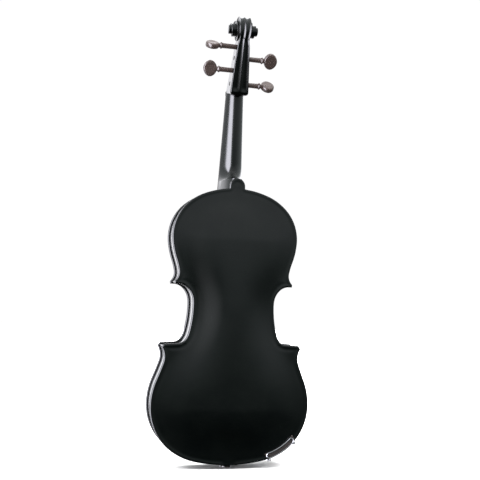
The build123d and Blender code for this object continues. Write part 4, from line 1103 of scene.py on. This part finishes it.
    def volute(self) -> Shell:
        """The scroll: a logarithmic spiral whose band is fluted outside and whose turns step outwards.

        Every strip across the side at one place on the spiral runs from its own edge, over a
        hollow face, to the wall of the next turn in; that wall's top is the next turn's edge.
        """
        start, count = -0.139, 96
        steps = round((math.log(self.eye / self.radius) / math.log(self.shrink) - start) * count)
        turns = start + np.arange(steps + 1) / count
        last = turns[-1]
        eye = self.radius * self.shrink**last
        radius = self.radius * self.shrink**turns
        inner = np.maximum(self.radius * self.shrink ** (turns + 1), eye)
        half, next_half = self.half_width(turns), self.half_width(np.minimum(turns + 1, last))
        share = np.linspace(0, 1, 13)
        face_r = radius[:, None] + (inner - radius)[:, None] * share
        room = np.clip((radius - inner) / 6, 0, 1)[:, None]
        dip = 1.3 * np.sin(np.pi * share**0.8) ** 0.8 + 0.5 * share
        face_x = half[:, None] - room * dip
        top = np.linspace(0, 1, 6)[1:]
        wall_x = face_x[:, -1:] + (next_half[:, None] - face_x[:, -1:]) * top
        wall_r = inner[:, None] - 0.35 * np.sin(np.pi * top) * room
        r = np.concatenate([face_r, wall_r], axis=1)
        x = np.concatenate([face_x, wall_x], axis=1)
        angle = (self.scroll_start + 2 * np.pi * turns)[:, None]
        side = self.in_space(x, r, angle)
        band = self.band(turns, half, radius)
        ring = slice(len(turns) - 1 - count, None)
        cap_share = np.linspace(0, 1, 7)
        cap_r = eye * np.cos(np.pi / 2 * cap_share)
        cap_x = half[-1] + (self.eye_reach - half[-1]) * np.sin(np.pi / 2 * cap_share)
        cap_points = self.in_space(cap_x, cap_r, angle[ring])
        rim = np.stack([np.broadcast_to(side[0, :1], side[0].shape), side[0]])
        shell = band
        for points in (side, cap_points, rim):
            one = grid_shell(points)
            shell = shell + one + one.mirrored()
        return shell

    def in_space(self, x: Array, r: Array, angle: Array) -> Array:
        """Points of the head from a sideways place, a radius and an angle about the scroll's centre."""
        x, r, angle = np.broadcast_arrays(x, r, angle)
        return np.stack([x, self.centre[0] + r * np.cos(angle), self.centre[1] + r * np.sin(angle)], -1)

    def band(self, turns: Array, half: Array, radius: Array) -> Shell:
        """The scroll's outer band over its first turn: two flutes and a middle ridge, closed at its start."""
        first = turns <= turns[0] + 1 + 1e-9
        across = np.linspace(-1, 1, 41)
        depth = self.flute * np.clip(radius[first] / 14 - 0.2, 0.3, 1.0)[:, None]
        r = radius[first][:, None] - depth * fluted(across)
        x = half[first][:, None] * across
        r[-1] = radius[first][-1]
        angle = (self.scroll_start + 2 * np.pi * turns[first])[:, None]
        return grid_shell(self.in_space(x, r, angle), close_rows=True)

    def build(self) -> None:
        """Join handle, pegbox and volute, cut the cavity and the peg holes, and lacquer the whole."""
        neck = make_object("neck_and_scroll", self.handle())
        cut(neck, make_object("tool", self.pegbox()), make_object("tool", self.volute()), how="UNION")
        holes = [make_object("tool", peg.hole()) for peg in pegs()]
        cut(neck, make_object("tool", self.cavity()), *holes)
        finish_piece(neck, NECK_LACQUER, ("neck",), crease=50.0)


class Hand(Enum):
    """Which side of the pegbox a peg's head is on."""

    BASS = -1
    TREBLE = 1


@dataclass
class Peg:
    """A tapered peg with a turned collar and a rounded thumb piece, and the string wound on it."""

    string: str
    hand: Hand
    tilt: float
    wire: float
    wire_finish: Finish
    collar: float = PEG_COLLAR
    head: tuple[float, float, float] = (9.3, 10.8, 4.75)  # half length, half height, half thickness
    ring: float = 3.0  # collar and waist, from the shaft's end to the head
    wound: float = 4.8  # length of the turns of string

    def winding_middle(self) -> Array:
        """The middle of the string's turns, which is where the peg's axis lies."""
        return np.mean(measured(f"winding_{self.string}"), axis=0)

    def radius_at(self, x: float) -> float:
        """The shaft's radius at a distance from the violin's middle plane."""
        return PEG_RADIUS - (self.collar - x) * PEG_TAPER

    def turned(self, profile: list[tuple[float, float]], steps: int) -> Shell:
        """A profile turned about the peg's axis, with distances towards its head."""
        origin = self.winding_middle() * (0, 1, 1)
        return turned_shell(np.array(profile, float), origin, np.array([self.hand.value, 0, 0]), steps)

    def hole(self) -> Shell:
        """The tapered hole through both walls of the pegbox, a little larger than the shaft."""
        reach, clearance = 20.0, 0.04
        small, large = (self.radius_at(x) + clearance for x in (-reach, reach))
        return self.turned([(-reach, 0), (-reach, small), (reach, large), (reach, 0)], 32)

    def shaft(self) -> Shell:
        """The shaft's taper, the collar's rings and the neck of the head, turned about the peg's axis."""
        low = -11.0 if self.string in ("g", "e") else -8.6
        c = self.collar
        profile = [
            (low, 0),
            (low, self.radius_at(low) - 0.3),
            (low + 0.5, self.radius_at(low)),
            (c - 6.0, self.radius_at(c - 6.0)),
            (c - 1.2, PEG_RADIUS),
            (c - 0.5, 3.9),
            (c, 4.4),
            (c + 0.6, 4.6),
            (c + 1.2, 4.5),
            (c + 1.7, 3.9),
            (c + 2.3, 3.3),
            (c + 3.2, 2.9),
            (c + 5.5, 3.0),
            (c + 8.0, 2.6),
            (c + 8.0, 0),
        ]
        return self.turned(profile, 40)

    def thumb_piece(self) -> Shell:
        """The head: an oval disc with full, rounded rims, its faces a little hollow in the middle."""
        turn = np.linspace(0, 2 * np.pi, 64, endpoint=False)[None]
        rise = np.linspace(-np.pi / 2, np.pi / 2, 41)[:, None]
        reach = np.cos(rise) ** 0.42
        lift = np.sign(np.sin(rise)) * np.abs(np.sin(rise)) ** 0.75
        hollow = 1 - 0.28 * (1 - reach**2) * np.abs(lift)
        reach[0] = reach[-1] = 0
        pull = 1 - 0.1 * np.sin(turn) ** 2
        x = self.head[0] * reach * np.cos(turn) * pull
        up = self.head[1] * reach * np.sin(turn)
        out = self.head[2] * lift * hollow * np.ones_like(turn)
        tilt = math.radians(self.tilt)
        middle = self.hand.value * (self.collar + self.ring + self.head[0])
        disc = grid_shell(np.stack([middle + x, out, up], -1), close_columns=True)
        sine, cosine = math.sin(tilt), math.cos(tilt)
        tip = np.array([[1, 0, 0], [0, cosine, -sine], [0, sine, cosine]])
        return Shell(disc.points @ tip.T + self.winding_middle() * (0, 1, 1), disc.quads)

    def winding(self) -> Shell:
        """The string's turns on the peg: a helix of close turns, each beside the one before."""
        turns = self.wound / (2 * self.wire + 0.04)
        count = round(turns * 28)
        share = np.linspace(0, 1, count)
        angle = np.pi * 1.5 + 2 * np.pi * turns * share
        middle = self.winding_middle()
        radius = self.radius_at(abs(middle[0])) + self.wire * 0.98
        x = self.wire - self.wound / 2 + (self.wound - 2 * self.wire) * share
        path = middle + np.stack([x, radius * np.cos(angle), radius * np.sin(angle)], -1)
        return carried_shell(path, self.wire, 10)

    def build(self) -> None:
        """Turn the peg, join its head to it, and wind the string on."""
        body = f"peg_body_{self.string}"
        peg = make_object(f"peg_turned_{self.string}", self.shaft())
        cut(peg, make_object("tool", self.thumb_piece()), how="UNION")
        finish_piece(peg, ROSEWOOD, (f"peg_{self.string}",), body, 50.0)
        coil = make_object(f"winding_coil_{self.string}", self.winding())
        finish_piece(coil, self.wire_finish, (f"winding_{self.string}",), body)


# ------------------------------------------------------------------ fittings


@dataclass
class Fingerboard:
    """The fingerboard: a round-topped wedge, hollowed under its free end, with eased edges."""

    radius: float = 42.0
    edge: float = 5.0
    easing: float = 0.8
    hollow: float = 2.6
    hollow_end: tuple[float, float] = (320.5, 342.5)  # heights over which the hollow runs out

    def build(self) -> None:
        """Sections across the board from its free end to the nut, with the corners rounded."""
        z = np.linspace(NUT_Z - BOARD_LENGTH, NUT_Z, 70)
        half = board_width(z)[:, None] / 2
        base = seat(z)[:, None]
        across = np.sin(np.linspace(-np.pi / 2, np.pi / 2, 33))[None]
        x = half * across
        crown = np.sqrt(self.radius**2 - x**2) - np.sqrt(self.radius**2 - half**2)
        easing = self.easing * smooth_step(np.abs(across), 0.955, 1.0)
        top = base - self.edge - crown + easing
        under_x = (half - 0.15) * np.linspace(1, -1, 17)[None]
        free = 1 - smooth_step(z, *self.hollow_end)[:, None]
        hollow = self.hollow * free * np.sqrt(np.clip(1 - (under_x / (half - 5)) ** 2, 0, 1))
        loop_x = np.concatenate([x, under_x], axis=1)
        loop_y = np.concatenate([top, base - hollow], axis=1)
        loop_z = np.broadcast_to(z[:, None], loop_x.shape)
        board = make_object("fingerboard_planed", tube_shell(np.stack([loop_x, loop_y, loop_z], -1)))
        finish_piece(board, EBONY, ("fingerboard",), crease=35.0)


@dataclass
class EndButton:
    """The end button that the violin stands on: turned, with a rounded flange and a waist for the loop."""

    radius: float = 7.2
    neck: float = 5.0
    rounding: float = 0.8
    shank: float = 3.9

    def build(self) -> None:
        """A profile turned about the violin's long axis, as (distance from the end face, radius)."""
        turn = np.linspace(0, np.pi / 2, 8)
        rim_radius = self.radius - self.rounding + self.rounding * np.sin(turn)
        rim = np.stack([self.rounding * (1 - np.cos(turn)), rim_radius], -1)
        face = [(0.3, 0), (0.0, 2.2), (0.0, self.radius - 0.85)]
        waist = [(1.7, self.radius), (2.1, 6.7), (2.45, 5.6), (2.7, 5.05), (3.0, self.neck)]
        shoulder = [(0, self.neck), (2.4, self.neck), (2.5, self.shank)]
        plug = [(18.0, self.shank), (18.5, self.shank - 0.5), (18.5, 0)]
        inside = [(BODY_FOOT + depth, radius) for depth, radius in shoulder + plug]
        profile = np.vstack([face, rim[1:], waist, inside])
        origin = np.array([0, 0, -BODY_FOOT])
        button = make_object("end_button_turned", turned_shell(profile, origin, np.array([0, 0, 1]), 64))
        finish_piece(button, BUTTON_WOOD, ("end_button",), crease=50.0)


@dataclass
class ClampFrame:
    """The clamp's foot on the back: a bent wire loop over the pad, with a rod from each of its ends."""

    wire: float = 0.95
    level: float = 21.3  # middle of the wire, front to back
    insets: tuple[float, float] = (1.5, 8.0)
    rod_radius: float = 1.05
    rod_end: float = 3.1
    bend: float = 4.0  # from the loop's level to where the rod runs straight

    def barrel_middle(self, end: str) -> Array:
        """The middle of the near or the far barrel, which is on its rod's line."""
        return np.mean(measured(f"clamp_barrel_{end}"), axis=0)

    def rails(self) -> Array:
        """The closed loop over the pad: two rails that follow the plate's edge, with round ends."""
        edge = Outline().chains()[0]
        near, far = (abs(self.barrel_middle(end)[0]) for end in ("near", "far"))
        outer, inner = (moved_in(edge, inset) for inset in self.insets)
        part = (edge[:, 0] > near - 1.0) & (edge[:, 0] < far - 2.0)
        outer, inner = outer[part], inner[part]
        turn = np.linspace(0, np.pi, 14)[1:-1, None]
        ends = []
        far_end = (outer[-1], inner[-1], outer[-1] - outer[-2])
        near_end = (inner[0], outer[0], outer[0] - outer[1])
        for first, second, way in (far_end, near_end):
            middle, arm = (first + second) / 2, (first - second) / 2
            ahead = way / np.linalg.norm(way) * np.linalg.norm(arm)
            ends.append(middle + arm * np.cos(turn) + ahead * np.sin(turn))
        loop = np.vstack([outer, ends[0], inner[::-1], ends[1], outer[:2]])
        return np.stack([-loop[:, 0], np.full(len(loop), self.level), loop[:, 1]], -1)

    def rod(self, end: str, loop: Array) -> Array:
        """A rod that leaves the loop where it is nearest, turns over the edge and enters its barrel."""
        x, _, z = self.barrel_middle(end)
        start = loop[np.argmin(np.hypot(loop[:, 0] - x, loop[:, 2] - z))]
        bend, low = np.array([x, self.level, z]), np.array([x, self.level - self.bend, z])
        t = np.linspace(0, 1, 12)[:, None]
        elbow = (1 - t) ** 2 * start + 2 * t * (1 - t) * bend + t**2 * low
        return np.vstack([elbow, [[x, 10.0, z], [x, self.rod_end, z]]])

    def build(self) -> None:
        """Bend the loop and weld both rods to it."""
        loop = self.rails()
        frame_piece = make_object("clamp_frame_back", carried_shell(loop, self.wire, 14))
        rods = [carried_shell(self.rod(end, loop), self.rod_radius, 14) for end in ("near", "far")]
        cut(frame_piece, *(make_object("tool", rod) for rod in rods), how="UNION")
        finish_piece(frame_piece, PLATE, ("clamp_bracket_back",), crease=50.0)


@dataclass
class Carried:
    """CAD pieces that keep their own shape, dressed in their finish, some with eased edges."""

    finish: Finish
    nodes: tuple[str, ...]
    ease: float = 0.0

    def build(self) -> None:
        """Give each node its material and, where its edges are eased, a weld and a bevel."""
        for name in self.nodes:
            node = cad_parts[name]
            node.data.materials.clear()
            node.data.materials.append(self.finish.material())
            if self.ease:
                weld = node.modifiers.new("corners", "WELD")
                weld.merge_threshold = 1e-6
                bevel = node.modifiers.new("eased", "BEVEL")
                bevel.width = self.ease * MM
                bevel.segments = 2
                bevel.limit_method = "ANGLE"
                bevel.angle_limit = math.radians(40)
                bevel.harden_normals = True
            log.info("%s: CAD shape in %s", name, self.finish.name)


# ------------------------------------------------------------------ studio


WHITE = (1.0, 1.0, 1.0, 1.0)


def background(tree: bpy.types.NodeTree, colour: Socket | tuple, strength: Socket | float) -> Socket:
    """Light of one colour and strength from all round."""
    return add_node(tree, "ShaderNodeBackground", {"Color": colour, "Strength": strength}).outputs[0]


def mixed_light(tree: bpy.types.NodeTree, share: Socket, first: Socket, second: Socket) -> Socket:
    """The first light where the share is 0, and the second where it is 1."""
    return add_node(tree, "ShaderNodeMixShader", {"Fac": share, 1: first, 2: second}).outputs[0]


@dataclass
class Studio:
    """A white sweep behind the violin, a dim room in front of it, a pale floor and the camera."""

    yaw: float = 13.82
    pitch: float = -3.83
    roll: float = 1.862
    distance: float = 1.0685
    target: tuple[float, float, float] = (0.0, 0.0, 0.2957)
    lens: float = 60.6
    shift: tuple[float, float] = (0.0156, -0.0015)

    def camera(self) -> None:
        """Stand the camera behind the violin, a little to its treble side and below its middle."""
        yaw, pitch, roll = (math.radians(a) for a in (self.yaw, self.pitch, self.roll))
        level = math.cos(pitch)
        back = Vector((math.sin(yaw) * level, math.cos(yaw) * level, math.sin(pitch)))
        right = Vector((-math.cos(yaw), math.sin(yaw), 0))
        up = back.cross(right)
        sine, cosine = math.sin(roll), math.cos(roll)
        right, up = right * cosine + up * sine, up * cosine - right * sine
        data = bpy.data.cameras.new("camera")
        data.sensor_width = 36.0
        data.lens = self.lens
        data.shift_x, data.shift_y = self.shift
        data.clip_start, data.clip_end = 0.05, 50.0
        stand = bpy.data.objects.new("camera", data)
        bpy.context.scene.collection.objects.link(stand)
        place = Matrix((right, up, back)).transposed().to_4x4()
        place.translation = Vector(self.target) + back * self.distance
        stand.matrix_world = place
        bpy.context.scene.camera = stand

    def floor(self) -> None:
        """A pale matt floor, wide enough to have no edge in view."""
        size = 4.0
        mesh = bpy.data.meshes.new("floor")
        corners = [(-size, -size, 0), (size, -size, 0), (size, size, 0), (-size, size, 0)]
        mesh.from_pydata(corners, [], [(0, 1, 2, 3)])
        plane = bpy.data.objects.new("floor", mesh)
        bpy.context.scene.collection.objects.link(plane)
        plane.visible_glossy = False
        plane.visible_diffuse = False
        paint = bpy.data.materials.new("Matt_white_paper_sweep")
        paint.use_nodes = True
        tree = paint.node_tree
        place = add_node(tree, "ShaderNodeTexCoord").outputs["Object"]
        shade = ramp(tree, noise(tree, place, 2.5, 2.0), (0.0, "f6f6f6"), (1.0, "fcfcfc"))
        wire(tree, tree.nodes["Principled BSDF"], {"Base Color": shade, "Roughness": 0.9})
        mesh.materials.append(paint)

    def mirrored_room(self, tree: bpy.types.NodeTree, axis: bpy.types.bpy_prop_collection) -> Socket:
        """The room that gloss reflects: dim below, paler above, a lit flank, a window and the sweep.

        Args:
            tree: The world's node tree.
            axis: The direction's three components, by name.

        Returns:
            The room's colour in that direction.
        """
        rise = spread(tree, axis["Z"], (-0.6, 0.6), (0.0, 1.0))
        dim = [(0.0, "1c2422"), (0.3, "343c3c"), (0.42, "6a7472")]
        pale = [(0.5, "909a9a"), (0.62, "bcc4c6"), (1.0, "c4cacc")]
        smooth = {"interpolation_type": "SMOOTHSTEP"}
        flank = spread(tree, axis["X"], (0.15, 0.5), (0.0, 0.55), **smooth)
        across = spread(tree, axis["X"], (0.55, 0.75), (0.0, 1.0), **smooth)
        window = spread(tree, axis["Y"], (0.05, 0.25), (0.0, across), **smooth)
        behind = spread(tree, axis["Y"], (-0.6, -0.9), (0.0, 1.0), **smooth)
        room = ramp(tree, rise, *dim, *pale)
        for share, colour in (
            (flank, (1.3, 1.35, 1.4, 1.0)),
            (window, (14.0, 14.0, 15.5, 1.0)),
            (behind, (2.4, 2.4, 2.5, 1.0)),
        ):
            inputs = {"Factor": share, 6: room, 7: colour}
            room = add_node(tree, "ShaderNodeMix", inputs, data_type="RGBA").outputs[2]
        return room

    def light(self) -> None:
        """The light: white to the eye, a room for gloss to reflect, and soft light mostly from overhead."""
        world = bpy.data.worlds.new("studio")
        bpy.context.scene.world = world
        world.use_nodes = True
        tree = world.node_tree
        tree.nodes.clear()
        path = add_node(tree, "ShaderNodeLightPath")
        way = add_node(tree, "ShaderNodeTexCoord").outputs["Generated"]
        axis = add_node(tree, "ShaderNodeSeparateXYZ", {"Vector": way}).outputs
        mirror = background(tree, self.mirrored_room(tree, axis), 1.0)
        overhead = spread(tree, axis["Z"], (0.5, 0.8), (0.9, 7.0), interpolation_type="SMOOTHSTEP")
        soft, shown = background(tree, WHITE, overhead), background(tree, WHITE, 1.02)
        seen = mixed_light(tree, path.outputs["Is Camera Ray"], soft, shown)
        both = mixed_light(tree, path.outputs["Is Glossy Ray"], seen, mirror)
        add_node(tree, "ShaderNodeOutputWorld", {"Surface": both})
        bpy.context.scene.view_settings.view_transform = "Standard"

    def build(self) -> None:
        """Set up the camera, the floor and the light."""
        self.camera()
        self.floor()
        self.light()
        log.info("studio ready")


# ------------------------------------------------------------------ the whole violin


def pegs() -> list[Peg]:
    """The four pegs, with how each head was left turned."""
    return [
        Peg("g", Hand.BASS, 45.0, 0.40, WOUND_STEEL),
        Peg("e", Hand.TREBLE, -16.0, 0.16, PLAIN_STEEL),
        Peg("d", Hand.BASS, -32.0, 0.38, WOUND_STEEL),
        Peg("a", Hand.TREBLE, 58.0, 0.34, WOUND_STEEL),
    ]


def carried_pieces() -> list[Carried]:
    """The pieces whose CAD shape stays."""
    blocks = [(end, hand) for end in ("lower", "upper") for hand in ("bass", "treble")]
    corners = tuple(f"corner_block_{end}_{hand}" for end, hand in blocks)
    inner = ("back_linings", "belly_linings", "bass_bar", "sound_post", "neck_block", "end_block")
    levers = tuple(f"tuner_{part}_{string}" for part in ("lever", "screw") for string in "gdae")
    metal = ("clamp_bracket_belly", "clamp_barrel_near", "clamp_barrel_far")
    return [
        Carried(SPRUCE, inner + corners),
        Carried(EBONY, ("nut", "saddle", "chin_rest"), 0.5),
        Carried(MAPLE, ("bridge",), 0.2),
        Carried(COMPOSITE, ("tailpiece", "tailpiece_fret"), 0.3),
        Carried(PLATE, levers + ("tuner_pin", "chin_rest_screws")),
        Carried(PLATE, metal, 0.25),
        Carried(CORK, ("clamp_corks",)),
        Carried(NYLON, ("tail_gut",)),
        Carried(WOUND_STEEL, ("string_g", "string_d", "string_a")),
        Carried(PLAIN_STEEL, ("string_e",)),
    ]


def main() -> None:
    """Build every sub-assembly in order."""
    logging.basicConfig(level=logging.INFO, format="%(message)s", stream=sys.stdout)
    Studio().build()
    Body().build()
    Neck().build()
    for peg in pegs():
        peg.build()
    Fingerboard().build()
    EndButton().build()
    ClampFrame().build()
    for carried in carried_pieces():
        carried.build()


if __name__ == "__main__":
    main()
